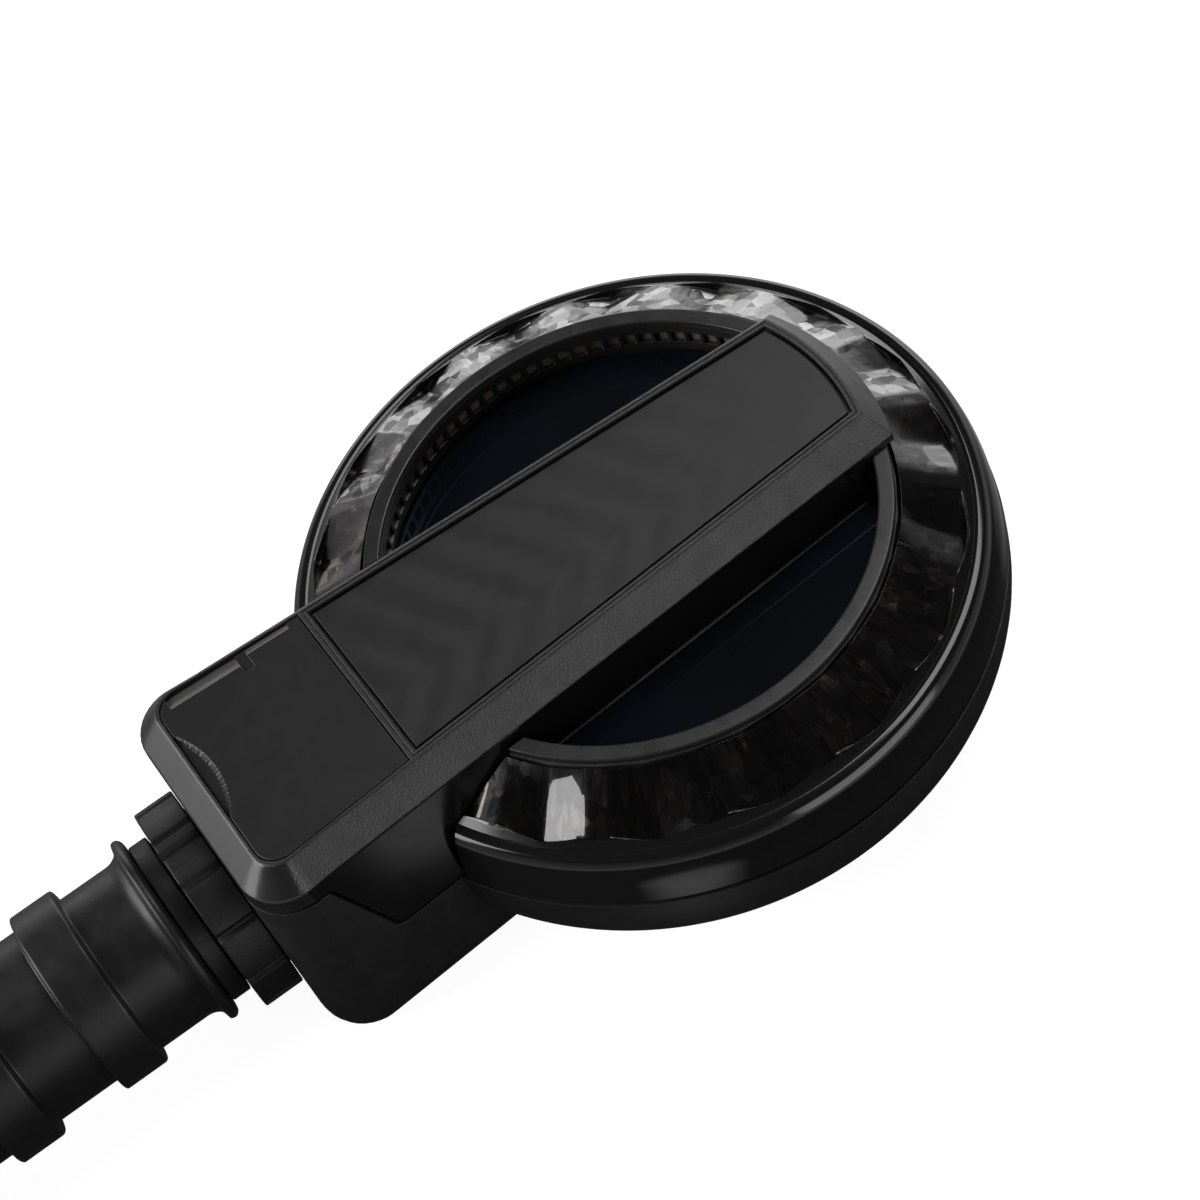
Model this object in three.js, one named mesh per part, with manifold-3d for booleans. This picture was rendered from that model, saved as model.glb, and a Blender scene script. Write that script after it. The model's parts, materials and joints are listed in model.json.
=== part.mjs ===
// Snorkel tube with a round float-valve head, in millimetres, +Z up.
// The origin is the centre of the head's flat back. +Z points out of the head's face, and the tube runs towards -Y.
import * as THREE from 'three';
import { mergeVertices } from 'three/addons/utils/BufferGeometryUtils.js';
import Module from 'manifold-3d';

const wasm = await Module();
wasm.setup();

// ---------- driving dimensions ----------
const HEAD_SEGMENTS = 72;
const SHELL_SEGMENTS = 48;
const FRAME_SEGMENTS = 36;
const SMALL_SEGMENTS = 24;
const GAP = 0.3;
const WALL = 2;

const WINDOW_Z = 29;
const BEZEL_Z = 35.7;
const TOP_Z = 40.9;
const CHAMFER_Z = 36.9;
const SEAM_Z = 20.6;
const RIM_Z = 29.5;
const NECK_SEAM_Z = 34.5;

const PAN_R = 51.5;
const PAN_FILLET = 17.2;
const SKIRT_R = 51.3;
const RIM_R = 49.3;
const SCOOP_OUTER_R = 46.6;
const SCOOP_INNER_R = 39;
const COVER_INNER_R = 38.3;
const BEZEL_OUTER_R = 37.9;
const WINDOW_R = 35.3;
const SCOOPS = 18;
const SCOOP_DEPTH = 1.5;
const SCOOP_WIDTH = 0.8;
const SLOTS = 45;

const BAR_HALF = 13.3;
const BAR_TAPER = 0.0565;
const BAR_END_R = 35.7;
const NECK_END_Y = -68;
const NECK_CORNER_R = 3.5;
const CHAMFER_WIDTH = 3.3;
const SIDE_FLARE = 0.17;
const NECK_FILLET = 7;
const FLAP_START_Y = -62.2;
const FLAP_END_Y = -56.7;

const TUBE_Z = 17.75;
const TUBE_R = 12.5;
const TUBE_BORE_R = 10.7;
const TUBE_TOP_Y = -81.5;
const TUBE_END_Y = -200;
const FLANGE_R = 14.95;
const BAND_R = 14.35;
const BAND_WIDTH = 7.3;
const BAND_PITCH = 17;
const FIRST_BAND_Y = -93;
const BANDS = 6;
const COLLAR_R = 16.2;
const COLLAR_PADS = 12;
const COLLAR_FIRST_GROOVE = 9;
const COLLAR_MARK = 85.5;
const NOZZLE_R = 10.6;
const COUPLING_END_Y = -214;

const PIN_Y = -59.5;
const PIN_Z = 29;
const PORT_R = 8;
const VALVE_OPEN = THREE.MathUtils.degToRad(25);

// ---------- geometry and booleans ----------
const bare = (geometry) => {
  const copy = geometry.clone();
  copy.deleteAttribute('normal');
  copy.deleteAttribute('uv');
  return mergeVertices(copy, 1e-4);
};

// A closed mesh as a manifold solid. Triangles that lost their area are dropped, and an inside-out mesh is flipped.
const solid = (geometry) => {
  const merged = bare(geometry);
  const index = merged.index.array;
  const corners = [];
  for (let i = 0; i < index.length; i += 3) {
    const [a, b, c] = [index[i], index[i + 1], index[i + 2]];
    if (a !== b && b !== c && a !== c) corners.push(a, b, c);
  }
  const vertProperties = new Float32Array(merged.attributes.position.array);
  const body = (list) => new wasm.Manifold(
    new wasm.Mesh({ numProp: 3, vertProperties, triVerts: new Uint32Array(list) }),
  );
  const first = body(corners);
  if (first.volume() > 0) return first;
  const flipped = [];
  for (let i = 0; i < corners.length; i += 3) flipped.push(corners[i], corners[i + 2], corners[i + 1]);
  return body(flipped);
};

const geometryOf = (manifold) => {
  const mesh = manifold.getMesh();
  const geometry = new THREE.BufferGeometry();
  const points = new Float32Array(mesh.numVert * 3);
  for (let v = 0; v < mesh.numVert; v += 1) {
    for (let k = 0; k < 3; k += 1) points[3 * v + k] = mesh.vertProperties[mesh.numProp * v + k];
  }
  geometry.setAttribute('position', new THREE.BufferAttribute(points, 3));
  geometry.setIndex(Array.from(mesh.triVerts));
  return geometry;
};

// A closed profile of [radius, height] turned about +Z.
const turned = (profile, segments = HEAD_SEGMENTS) => {
  const points = profile.map(([r, h]) => new THREE.Vector2(r, h));
  if (profile[0][0] > 0) points.push(points[0].clone());
  return new THREE.LatheGeometry(points, segments).rotateX(Math.PI / 2);
};

// A closed profile of [radius, y] turned about the tube axis.
const turnedOnTube = (profile, segments = SMALL_SEGMENTS) => {
  const geometry = turned(profile.map(([r, y]) => [r, -y]), segments);
  return geometry.rotateX(Math.PI / 2).translate(0, 0, TUBE_Z);
};

const box = (x0, x1, y0, y1, z0, z1) => {
  const geometry = new THREE.BoxGeometry(x1 - x0, y1 - y0, z1 - z0);
  return geometry.translate((x0 + x1) / 2, (y0 + y1) / 2, (z0 + z1) / 2);
};

const post = (x, y, z0, z1, r, segments = 16) => {
  const geometry = new THREE.CylinderGeometry(r, r, z1 - z0, segments);
  return geometry.rotateX(Math.PI / 2).translate(x, y, (z0 + z1) / 2);
};

// A rod along X.
const crossRod = (x0, x1, y, z, r, segments = 16) => {
  const geometry = new THREE.CylinderGeometry(r, r, x1 - x0, segments);
  return geometry.rotateZ(Math.PI / 2).translate((x0 + x1) / 2, y, z);
};

// A rod along Y.
const axialRod = (x, y0, y1, z, r, segments = 16) => {
  const geometry = new THREE.CylinderGeometry(r, r, y1 - y0, segments);
  return geometry.translate(x, (y0 + y1) / 2, z);
};

// An outline in the Y-Z plane, extruded along X.
const sidePrism = (outline, halfWidth) => {
  const shape = new THREE.Shape(outline.map(([y, z]) => new THREE.Vector2(y, z)));
  const geometry = new THREE.ExtrudeGeometry(shape, { depth: 2 * halfWidth, bevelEnabled: false });
  geometry.translate(0, 0, -halfWidth);
  return geometry.applyMatrix4(new THREE.Matrix4().set(0, 0, 1, 0, 1, 0, 0, 0, 0, 1, 0, 0, 0, 0, 0, 1));
};

// A closed solid through level outlines that all have the same number of points.
const loft = (levels) => {
  const count = levels[0].outline.length;
  const points = levels.flatMap(({ z, outline }) => outline.flatMap(([x, y]) => [x, y, z]));
  const index = [];
  for (let level = 0; level + 1 < levels.length; level += 1) {
    for (let i = 0; i < count; i += 1) {
      const a = level * count + i;
      const b = level * count + ((i + 1) % count);
      index.push(a, b, b + count, a, b + count, a + count);
    }
  }
  const cap = (level, flip) => {
    const outline = levels[level].outline.map(([x, y]) => new THREE.Vector2(x, y));
    for (const [a, b, c] of THREE.ShapeUtils.triangulateShape(outline, [])) {
      const [p, q] = flip ? [c, b] : [b, c];
      index.push(level * count + a, level * count + p, level * count + q);
    }
  };
  cap(0, true);
  cap(levels.length - 1, false);
  const geometry = new THREE.BufferGeometry();
  geometry.setAttribute('position', new THREE.BufferAttribute(new Float32Array(points), 3));
  geometry.setIndex(index);
  return geometry;
};

const arc = (cx, cy, r, from, to, steps) => {
  const points = [];
  for (let i = 0; i <= steps; i += 1) {
    const angle = from + ((to - from) * i) / steps;
    points.push([cx + r * Math.cos(angle), cy + r * Math.sin(angle)]);
  }
  return points;
};

const around = (count, make) => Array.from({ length: count }, (_, i) => make((2 * Math.PI * i) / count));
const joinAll = (pieces) => pieces.reduce((whole, piece) => whole.add(piece));
const cutAll = (body, cutters) => cutters.reduce((whole, cutter) => whole.subtract(cutter), body);

// ---------- the bar and neck outline ----------
const halfWidthAt = (y) => BAR_HALF - BAR_TAPER * y;

// The neck end of the outline, anticlockwise from the left side to the right side.
const neckEnd = (dx, dy) => {
  const y = NECK_END_Y - dy;
  const x = halfWidthAt(NECK_END_Y) + dx;
  const r = NECK_CORNER_R + Math.max(0, Math.min(dx, dy));
  return [
    ...arc(-x + r, y + r, r, Math.PI, 1.5 * Math.PI, 4),
    ...arc(x - r, y + r, r, 1.5 * Math.PI, 2 * Math.PI, 4),
  ];
};

// The bar's plan, grown by dx at its sides and dy at the neck end. Its free end is an arc about the head's centre.
const barOutline = (dx, dy, endR = BAR_END_R + dx) => {
  const a = BAR_HALF + dx;
  const square = 1 + BAR_TAPER ** 2;
  const ab = a * BAR_TAPER;
  const y = (ab + Math.sqrt(ab ** 2 - square * (a ** 2 - endR ** 2))) / square;
  const angle = Math.atan2(y, halfWidthAt(y) + dx);
  return [...neckEnd(dx, dy), ...arc(0, 0, endR, angle, Math.PI - angle, 8)];
};

// The neck's plan with a straight end inside the head.
const neckOutline = (dx, dy, headY = -25) => {
  const x = halfWidthAt(headY) + dx;
  return [...neckEnd(dx, dy), [x, headY], [-x, headY]];
};

const flareAt = (z) => CHAMFER_WIDTH + SIDE_FLARE * (CHAMFER_Z - z);

// Levels of the neck's outside, inset by the wall for its inside.
const neckLevels = (inset, floorZ) => {
  const fillet = NECK_FILLET - inset;
  const levels = [];
  for (let i = 3; i >= 0; i -= 1) {
    const angle = (i * Math.PI) / 6;
    const pull = fillet * (1 - Math.cos(angle)) + inset;
    const z = floorZ + fillet - fillet * Math.sin(angle);
    levels.push({ z, outline: neckOutline(7.1 - pull, 4.3 - pull) });
  }
  levels.push({ z: SEAM_Z, outline: neckOutline(flareAt(SEAM_Z) - inset, 4.2 - inset) });
  levels.push({ z: NECK_SEAM_Z + 1, outline: neckOutline(flareAt(NECK_SEAM_Z) - inset, 3.8 - inset) });
  return levels;
};

// Everything on the cover's side of the seam, which steps up from the ring to the neck end.
const coverSide = (shift) => sidePrism([
  [-90, NECK_SEAM_Z + shift], [FLAP_START_Y + shift, NECK_SEAM_Z + shift], [FLAP_END_Y + shift, SEAM_Z + shift],
  [60, SEAM_Z + shift], [60, 60], [-90, 60],
], 60);

// The slot that the neck takes out of the rings, but not out of the ledge under the window.
const neckSlot = () => {
  const grow = GAP + flareAt(SEAM_Z);
  const upper = flareAt(WINDOW_Z) + GAP;
  const slot = solid(loft([
    { z: 10, outline: neckOutline(grow, 10) },
    { z: SEAM_Z, outline: neckOutline(grow, 10) },
    { z: WINDOW_Z, outline: neckOutline(upper, 10) },
    { z: 45, outline: neckOutline(CHAMFER_WIDTH + GAP, 10) },
  ]));
  return slot.subtract(solid(post(0, 0, 0, WINDOW_Z - 2.05, WINDOW_R + GAP, HEAD_SEGMENTS)));
};

// ---------- head shells ----------
const bowl = (inset) => {
  const r = PAN_FILLET - inset;
  const centreR = PAN_R - PAN_FILLET;
  const side = arc(centreR, PAN_FILLET, r, -Math.PI / 2, 0, 4);
  return solid(turned([[0, inset], ...side, [PAN_R - inset, SEAM_Z + 20], [0, SEAM_Z + 20]], SHELL_SEGMENTS));
};

const SCREW_R = 34;
const screwPlaces = around(6, (angle) => {
  const turn = angle + Math.PI / 6;
  return [SCREW_R * Math.cos(turn), SCREW_R * Math.sin(turn)];
});

const backPan = () => {
  const outside = bowl(0).add(solid(loft(neckLevels(0, 0))));
  const inside = bowl(WALL).add(solid(loft(neckLevels(WALL, WALL))));
  const posts = screwPlaces.map(([x, y]) => solid(post(x, y, 1, WINDOW_Z - 4, 4, 12)));
  const holes = screwPlaces.flatMap(([x, y]) => [
    solid(post(x, y, -5, WINDOW_Z, 1.8, 10)),
    solid(post(x, y, -5, 3, 3.3, 10)),
  ]);
  const shell = outside.subtract(inside).add(joinAll(posts));
  const drain = solid(post(0, 22, -5, 5, 4, SMALL_SEGMENTS));
  const bore = solid(turnedOnTube([[0, -80], [13.2, -80], [13.2, -70.1], [15.4, -70.1], [15.4, -66], [0, -66]]));
  const above = solid(coverSide(-0.25));
  return cutAll(shell, [above, ...holes, drain, bore]);
};

const coverOutside = () => solid(loft([
  { z: SEAM_Z, outline: barOutline(flareAt(SEAM_Z), 4.2, BAR_END_R + CHAMFER_WIDTH) },
  { z: NECK_SEAM_Z, outline: barOutline(flareAt(NECK_SEAM_Z), 3.8, BAR_END_R + CHAMFER_WIDTH) },
  { z: CHAMFER_Z, outline: barOutline(CHAMFER_WIDTH, 3.7) },
  { z: TOP_Z, outline: barOutline(0, 0) },
]));

const coverInside = () => solid(loft([
  { z: SEAM_Z - 1, outline: barOutline(flareAt(SEAM_Z) - WALL, 4.2 - WALL, WINDOW_R - WALL) },
  { z: NECK_SEAM_Z, outline: barOutline(flareAt(NECK_SEAM_Z) - WALL, 3.8 - WALL, WINDOW_R - WALL) },
  { z: CHAMFER_Z - 0.6, outline: barOutline(CHAMFER_WIDTH - WALL, 3.7 - WALL, WINDOW_R - WALL) },
  { z: TOP_Z - WALL, outline: barOutline(-1, -1, WINDOW_R - WALL - 1) },
]));

const PANEL_TOP_Y = -42.6;
const PANEL_DEPTH = 1;
const SERVICE_TOP_Y = -43.9;

const panelOutline = (inset) => {
  const outline = barOutline(-inset, -inset).slice(10);
  const x = halfWidthAt(PANEL_TOP_Y) - inset;
  return [[-x, PANEL_TOP_Y + inset - 1.2], [x, PANEL_TOP_Y + inset - 1.2], ...outline];
};

const serviceOutline = (inset) => {
  const x = halfWidthAt(SERVICE_TOP_Y) - inset;
  return [...neckEnd(-inset, -inset), [x, SERVICE_TOP_Y - inset + 0.4], [-x, SERVICE_TOP_Y - inset + 0.4]];
};

const slab = (outline, z0, z1) => solid(loft([{ z: z0, outline }, { z: z1, outline }]));

const bridgeCover = () => {
  const shell = coverOutside().subtract(coverInside());
  const windowRoom = solid(post(0, 0, 0, WINDOW_Z + 0.1, WINDOW_R + GAP, HEAD_SEGMENTS));
  const ring = solid(turned([
    [WINDOW_R - 0.1, 0], [60, 0], [60, BEZEL_Z + 0.2], [WINDOW_R - 0.1, BEZEL_Z + 0.2],
  ]));
  const freeEnd = ring.intersect(solid(box(-60, 60, 0, 60, -1, 50)));
  const panel = slab(panelOutline(1.2), TOP_Z - PANEL_DEPTH, TOP_Z + 1);
  const service = slab(serviceOutline(0.4), TOP_Z - PANEL_DEPTH, TOP_Z + 1);
  const seam = solid(box(-60, 60, -90, 60, 0, 60)).subtract(solid(coverSide(0)));
  return cutAll(shell, [windowRoom, freeEnd, panel, service, seam]);
};

// The inset panel, with shallow V grooves that point to the neck.
const insetPanel = () => {
  const plate = slab(panelOutline(1.5), TOP_Z - PANEL_DEPTH + 0.05, TOP_Z - 0.15);
  const grooves = Array.from({ length: 5 }, (_, i) => {
    const y = 19 - 11 * i;
    const v = [[-9, y + 6], [0, y], [9, y + 6], [9, y + 10], [0, y + 4], [-9, y + 10]];
    return slab(v, TOP_Z - 0.3, TOP_Z + 1);
  });
  return cutAll(plate, grooves);
};

// The plate over the valve chamber, with a thumbnail recess at the neck end.
const serviceCover = () => {
  const plate = slab(serviceOutline(0.65), TOP_Z - PANEL_DEPTH + 0.05, TOP_Z - 0.05);
  const nail = solid(post(-3, -71, TOP_Z - 0.5, TOP_Z + 1, 9, SMALL_SEGMENTS));
  return plate.subtract(nail);
};

// ---------- ring, bezel and window ----------
// Radial V scoops: points of the top between the two scoop radii sink, deepest on each scoop's centre line.
// A scoop takes up SCOOP_WIDTH of its pitch, and a narrow land is left between two scoops.
const pressScoops = (geometry) => {
  const position = geometry.attributes.position;
  const pitch = (2 * Math.PI) / SCOOPS;
  for (let i = 0; i < position.count; i += 1) {
    const [x, y, z] = [position.getX(i), position.getY(i), position.getZ(i)];
    const r = Math.hypot(x, y);
    const turns = Math.atan2(y, x) / pitch - 0.5;
    const across = 2 * Math.abs(turns - Math.round(turns));
    const onTop = z > RIM_Z - 0.6 && r > SCOOP_INNER_R - 0.1 && r < SCOOP_OUTER_R + 0.1;
    if (onTop) position.setZ(i, z - SCOOP_DEPTH * Math.max(0, 1 - across / SCOOP_WIDTH));
  }
  return geometry;
};

const ringCover = () => {
  const slope = (r) => RIM_Z + 0.2 + ((RIM_R - 1.6 - r) * (BEZEL_Z - 0.9 - RIM_Z)) / (RIM_R - 1.6 - COVER_INNER_R);
  const profile = [
    [COVER_INNER_R, slope(COVER_INNER_R) - 2.4],
    [SCOOP_OUTER_R, slope(SCOOP_OUTER_R) - 3.1],
    [RIM_R - 0.4, RIM_Z - 3.2],
    [SKIRT_R - 1.8, SEAM_Z + 0.2],
    [SKIRT_R, SEAM_Z + 0.2],
    [SKIRT_R - 0.3, RIM_Z - 4],
    [RIM_R + 1, RIM_Z - 1.2],
    [RIM_R, RIM_Z],
    [RIM_R - 1.1, RIM_Z + 0.2],
    [RIM_R - 1.9, RIM_Z],
    [SCOOP_OUTER_R, slope(SCOOP_OUTER_R)],
    [43, slope(43)],
    [SCOOP_INNER_R, slope(SCOOP_INNER_R)],
    [COVER_INNER_R, slope(COVER_INNER_R)],
  ];
  return solid(pressScoops(turned(profile))).subtract(neckSlot());
};

// The crumpled reflecting layer: its top is pressed up and down in turn.
const reflectorRing = () => {
  const geometry = turned([
    [38.7, 29.4], [48.4, 24.4], [48.4, 25.2], [46.6, 25.4], [44, 27.4], [41.4, 29.3], [38.7, 31],
  ]);
  const position = geometry.attributes.position;
  for (let i = 0; i < position.count; i += 1) {
    const [x, y, z] = [position.getX(i), position.getY(i), position.getZ(i)];
    const r = Math.hypot(x, y);
    const step = Math.round(Math.atan2(y, x) / ((2 * Math.PI) / HEAD_SEGMENTS));
    const top = Math.abs(r - 44) < 0.1 || Math.abs(r - 41.4) < 0.1;
    if (top) position.setZ(i, z - (step % 2 === 0 ? 0.5 : 0));
  }
  return solid(geometry).subtract(neckSlot());
};

const bezelRing = () => {
  const ring = turned([
    [WINDOW_R + 0.1, BEZEL_Z - 1], [BEZEL_OUTER_R, BEZEL_Z - 1],
    [BEZEL_OUTER_R, BEZEL_Z - 0.3], [BEZEL_OUTER_R - 0.3, BEZEL_Z], [WINDOW_R + 0.1, BEZEL_Z],
  ]);
  return solid(ring).subtract(neckSlot());
};

const inletGrille = () => {
  const wall = solid(turned([
    [WINDOW_R + 0.2, WINDOW_Z + 0.3], [WINDOW_R + 1.1, WINDOW_Z + 0.3],
    [WINDOW_R + 1.1, BEZEL_Z - 1.1], [WINDOW_R + 0.2, BEZEL_Z - 1.1],
  ]));
  const slot = solid(box(WINDOW_R - 1, WINDOW_R + 3, -1.5, 1.5, WINDOW_Z + 2, WINDOW_Z + 3.7));
  const slots = around(SLOTS, (angle) => slot.rotate([0, 0, 180 / SLOTS + (angle * 180) / Math.PI]));
  return wall.subtract(joinAll(slots)).subtract(neckSlot());
};

const centreWindow = () => solid(turned([
  [0, WINDOW_Z - 2], [WINDOW_R, WINDOW_Z - 2], [WINDOW_R, WINDOW_Z - 0.2], [WINDOW_R - 0.2, WINDOW_Z], [0, WINDOW_Z],
]));

const windowGasket = () => solid(turned([
  [32.7, WINDOW_Z - 2.6], [34.9, WINDOW_Z - 2.6], [34.9, WINDOW_Z - 2.1], [32.7, WINDOW_Z - 2.1],
], FRAME_SEGMENTS));

const innerFrame = () => {
  const body = solid(turned([
    [32.4, 25.2], [36.7, 25.2], [36.7, 22.4], [48.6, 22.4], [48.6, 23.8], [38, 23.8],
    [38, BEZEL_Z - 1.1], [36.7, BEZEL_Z - 1.1], [36.7, 26.3], [32.4, 26.3],
  ], FRAME_SEGMENTS));
  const gate = solid(box(35.9, 40, -3.2, 3.2, WINDOW_Z + 1.4, WINDOW_Z + 4.2));
  const gates = around(SCOOPS / 2, (angle) => gate.rotate([0, 0, (angle * 180) / Math.PI]));
  const pilots = screwPlaces.map(([x, y]) => solid(post(x, y, 20, WINDOW_Z - 2.2, 1.7, 10)));
  return cutAll(body, [joinAll(gates), neckSlot(), ...pilots]);
};

const headGasket = () => solid(turned([
  [49.7, SEAM_Z - 0.15], [50.9, SEAM_Z - 0.15], [50.9, SEAM_Z + 0.1], [49.7, SEAM_Z + 0.1],
], FRAME_SEGMENTS)).subtract(neckSlot());

const coverScrew = ([x, y]) => {
  const shank = solid(post(x, y, 1.4, WINDOW_Z - 3.1, 1.45, 10));
  const head = solid(post(x, y, 0.4, 2.8, 3, 10));
  const drive = solid(post(x, y, -1, 1.6, 1.2, 6));
  return shank.add(head).subtract(drive);
};

const drainPlug = () => solid(turned([
  [0, 0.3], [3.7, 0.3], [3.7, 2.2], [5, 2.4], [5, 3.6], [0, 3.6],
], 24).translate(0, 22, 0));

// ---------- neck outlet ----------
const neckFerrule = () => solid(turnedOnTube([
  [NOZZLE_R + GAP, -76.4], [12.9, -76.4], [12.9, -69.5], [15, -69.5], [15, -67.7],
  [12.6, -67.7], [12.6, -69.1], [NOZZLE_R + GAP, -69.1],
]));

const ferruleGasket = () => solid(turnedOnTube([[13.3, -70.1], [15, -70.1], [15, -69.6], [13.3, -69.6]]));

const lockCollar = () => {
  const ring = solid(turnedOnTube([
    [13.2, -76.7], [11.1, -76.7], [11.1, -78.1], [COLLAR_R - 0.5, -78.1], [COLLAR_R, -77.6],
    [COLLAR_R, -72.5], [13.2, -72.5],
  ], 3 * COLLAR_PADS));
  const groove = (degrees, depth, halfWidth) => solid(
    box(COLLAR_R - depth, COLLAR_R + 2, -79, -70, -halfWidth, halfWidth),
  ).rotate([0, -degrees, 0]).translate([0, 0, TUBE_Z]);
  const grooves = around(COLLAR_PADS, (angle) => (
    groove(COLLAR_FIRST_GROOVE + (angle * 180) / Math.PI, 0.7, 0.5)
  ));
  return cutAll(ring, [...grooves, groove(COLLAR_MARK, 1.2, 1.3)]);
};

// ---------- float valve ----------
const SEAT_SCREWS_X = [-12, 12];

const valveSeat = () => {
  const plate = solid(turnedOnTube([[PORT_R, -67.5], [15, -67.5], [15, -64.2], [PORT_R, -64.2]]));
  const ear = (side) => solid(box(side * 9 - 1, side * 9 + 1, -64.6, PIN_Y + 1.9, PIN_Z - 4, PIN_Z + 2));
  const pinHole = solid(crossRod(-12, 12, PIN_Y, PIN_Z, 1.25));
  const screwHoles = SEAT_SCREWS_X.map((x) => solid(axialRod(x, -70, -60, TUBE_Z, 1.1)));
  return cutAll(joinAll([plate, ear(-1), ear(1)]), [pinHole, ...screwHoles]);
};

const seatSeal = () => solid(turnedOnTube([[8.2, -64.1], [9.6, -64.1], [9.3, -63.4], [8.5, -63.4]]));

const seatScrew = (x) => {
  const shank = solid(axialRod(x, -67.4, -63.8, TUBE_Z, 0.9, 12));
  return shank.add(solid(axialRod(x, -64, -63.1, TUBE_Z, 1.7, 12)));
};

const hingePin = () => solid(crossRod(-10.6, 10.6, PIN_Y, PIN_Z, 1));

// The lever and what it carries are drawn shut, about the pin's axis, and turned open by their group.
const FLAP_Z = TUBE_Z - PIN_Z;

const floatArm = () => {
  const hub = solid(crossRod(-7, 7, 0, 0, 2.2));
  const blade = solid(box(-5, 5, -2.2, -1, FLAP_Z - 6, 0.5));
  const shelf = solid(box(-5, 5, -1.4, 7, 1, 3.2));
  const pinHole = solid(crossRod(-9, 9, 0, 0, 1.3));
  const stud = solid(axialRod(0, -5, 2, FLAP_Z, 1.1, 12));
  return cutAll(joinAll([hub, blade, shelf]), [pinHole, stud]);
};

const floatBlock = () => {
  const block = solid(box(-12, 12, -1.5, 7.5, 3.4, 7.2));
  const edges = [-1, 1].map((side) => (
    solid(box(-1.4, 1.4, -9, 12, -1.4, 1.4)).rotate([0, 45, 0]).translate([side * 12, 0, 7.2])
  ));
  return cutAll(block, edges);
};

const valveFlap = () => {
  const disc = solid(axialRod(0, -3.7, -2.4, FLAP_Z, 9.9, SMALL_SEGMENTS));
  return disc.subtract(solid(axialRod(0, -6, 0, FLAP_Z, 1.1, 12)));
};

const flapButton = () => joinAll([
  solid(axialRod(0, -4.6, -3.8, FLAP_Z, 2.2, 12)),
  solid(axialRod(0, -4, 0, FLAP_Z, 0.85, 12)),
  solid(axialRod(0, -0.8, 0.1, FLAP_Z, 1.6, 12)),
]);

// ---------- tube ----------
const tubeNozzle = () => solid(turnedOnTube([
  [8.2, -92], [NOZZLE_R - 0.1, -92], [NOZZLE_R - 0.1, -78], [NOZZLE_R, -77],
  [NOZZLE_R, -76], [9.5, -76], [9.5, -74.6], [NOZZLE_R, -74.6],
  [NOZZLE_R, -72.6], [9.5, -72.6], [9.5, -71.2], [NOZZLE_R, -71.2],
  [NOZZLE_R, -69], [9.6, -69], [9.6, -68.1], [NOZZLE_R, -68.1], [NOZZLE_R - 0.4, -67.8], [8.2, -67.8],
]));

const torus = (ringR, cordR, y) => {
  const geometry = new THREE.TorusGeometry(ringR, cordR, 5, SMALL_SEGMENTS);
  return solid(geometry.rotateX(Math.PI / 2).translate(0, y, TUBE_Z));
};

const NOZZLE_RINGS_Y = [-75.3, -71.9];
const nozzleRing = (y) => torus(10.15, 0.5, y);

const retainingRing = () => {
  const ring = solid(turnedOnTube([[9.8, -68.9], [12.3, -68.9], [12.3, -68.2], [9.8, -68.2]], 24));
  return ring.subtract(solid(box(-1.5, 1.5, -70, -66, TUBE_Z, TUBE_Z + 15)));
};

const spacerWasher = () => solid(turnedOnTube([[10.9, -81.3], [12.9, -81.3], [12.9, -79.1], [10.9, -79.1]]));

const convolutedTube = () => {
  const outside = [
    [FLANGE_R - 0.5, TUBE_TOP_Y], [FLANGE_R, TUBE_TOP_Y - 0.5], [FLANGE_R, TUBE_TOP_Y - 1.2],
    [TUBE_R, TUBE_TOP_Y - 2.2],
  ];
  for (let i = 0; i < BANDS; i += 1) {
    const y = FIRST_BAND_Y - BAND_PITCH * i;
    outside.push(
      [TUBE_R, y], [BAND_R, y - 0.3], [BAND_R, y - BAND_WIDTH + 0.3], [TUBE_R, y - BAND_WIDTH],
    );
  }
  outside.push([TUBE_R, TUBE_END_Y], [TUBE_BORE_R, TUBE_END_Y], [TUBE_BORE_R, TUBE_TOP_Y]);
  return solid(turnedOnTube(outside));
};

const maskCoupling = () => {
  const body = solid(turnedOnTube([
    [8.4, -190], [NOZZLE_R - 0.1, -190], [NOZZLE_R - 0.1, -200.2], [14.4, -200.2], [14.6, -200.8],
    [14.6, -202.8], [11.6, -202.8], [11.6, -207.2], [10.4, -207.2], [10.4, -208.8], [11.6, -208.8],
    [11.6, -213.4], [11, COUPLING_END_Y], [8.4, COUPLING_END_Y],
  ]));
  const lug = (side) => solid(box(side * 12 - 1, side * 12 + 1, -206, -204, TUBE_Z - 3, TUBE_Z + 3));
  return joinAll([body, lug(-1), lug(1)]);
};

const couplingRing = () => torus(11.1, 0.6, -208);

// ---------- assembly ----------
const finish = (color, roughness, metalness = 0, opacity = 1) => new THREE.MeshStandardMaterial({
  color, roughness, metalness, opacity, transparent: opacity < 1,
});

const MATT_BLACK = finish(0x141414, 0.6);
const SATIN_BLACK = finish(0x1b1b1b, 0.45);
const GLOSS_BLACK = finish(0x0a0a0b, 0.12);
const SMOKED = finish(0x101011, 0.05, 0, 0.75);
const SATIN_GREY = finish(0x4a4a4b, 0.35);
const PRISM = finish(0x59544d, 0.2, 0.6);
const INLET_BROWN = finish(0x2e2823, 0.5);
const NAVY_GLASS = finish(0x05080d, 0.06);
const RUBBER = finish(0x151515, 0.85);
const FRAME_GREY = finish(0x2a2a2b, 0.6);
const STEEL = finish(0xa9abae, 0.35, 0.9);
const SILICONE = finish(0xb8b8b4, 0.55);
const FOAM = finish(0xd8d4c8, 0.8);

const part = new THREE.Group();
const lever = new THREE.Group();
lever.position.set(0, PIN_Y, PIN_Z);
lever.rotation.x = VALVE_OPEN;
part.add(lever);

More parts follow.
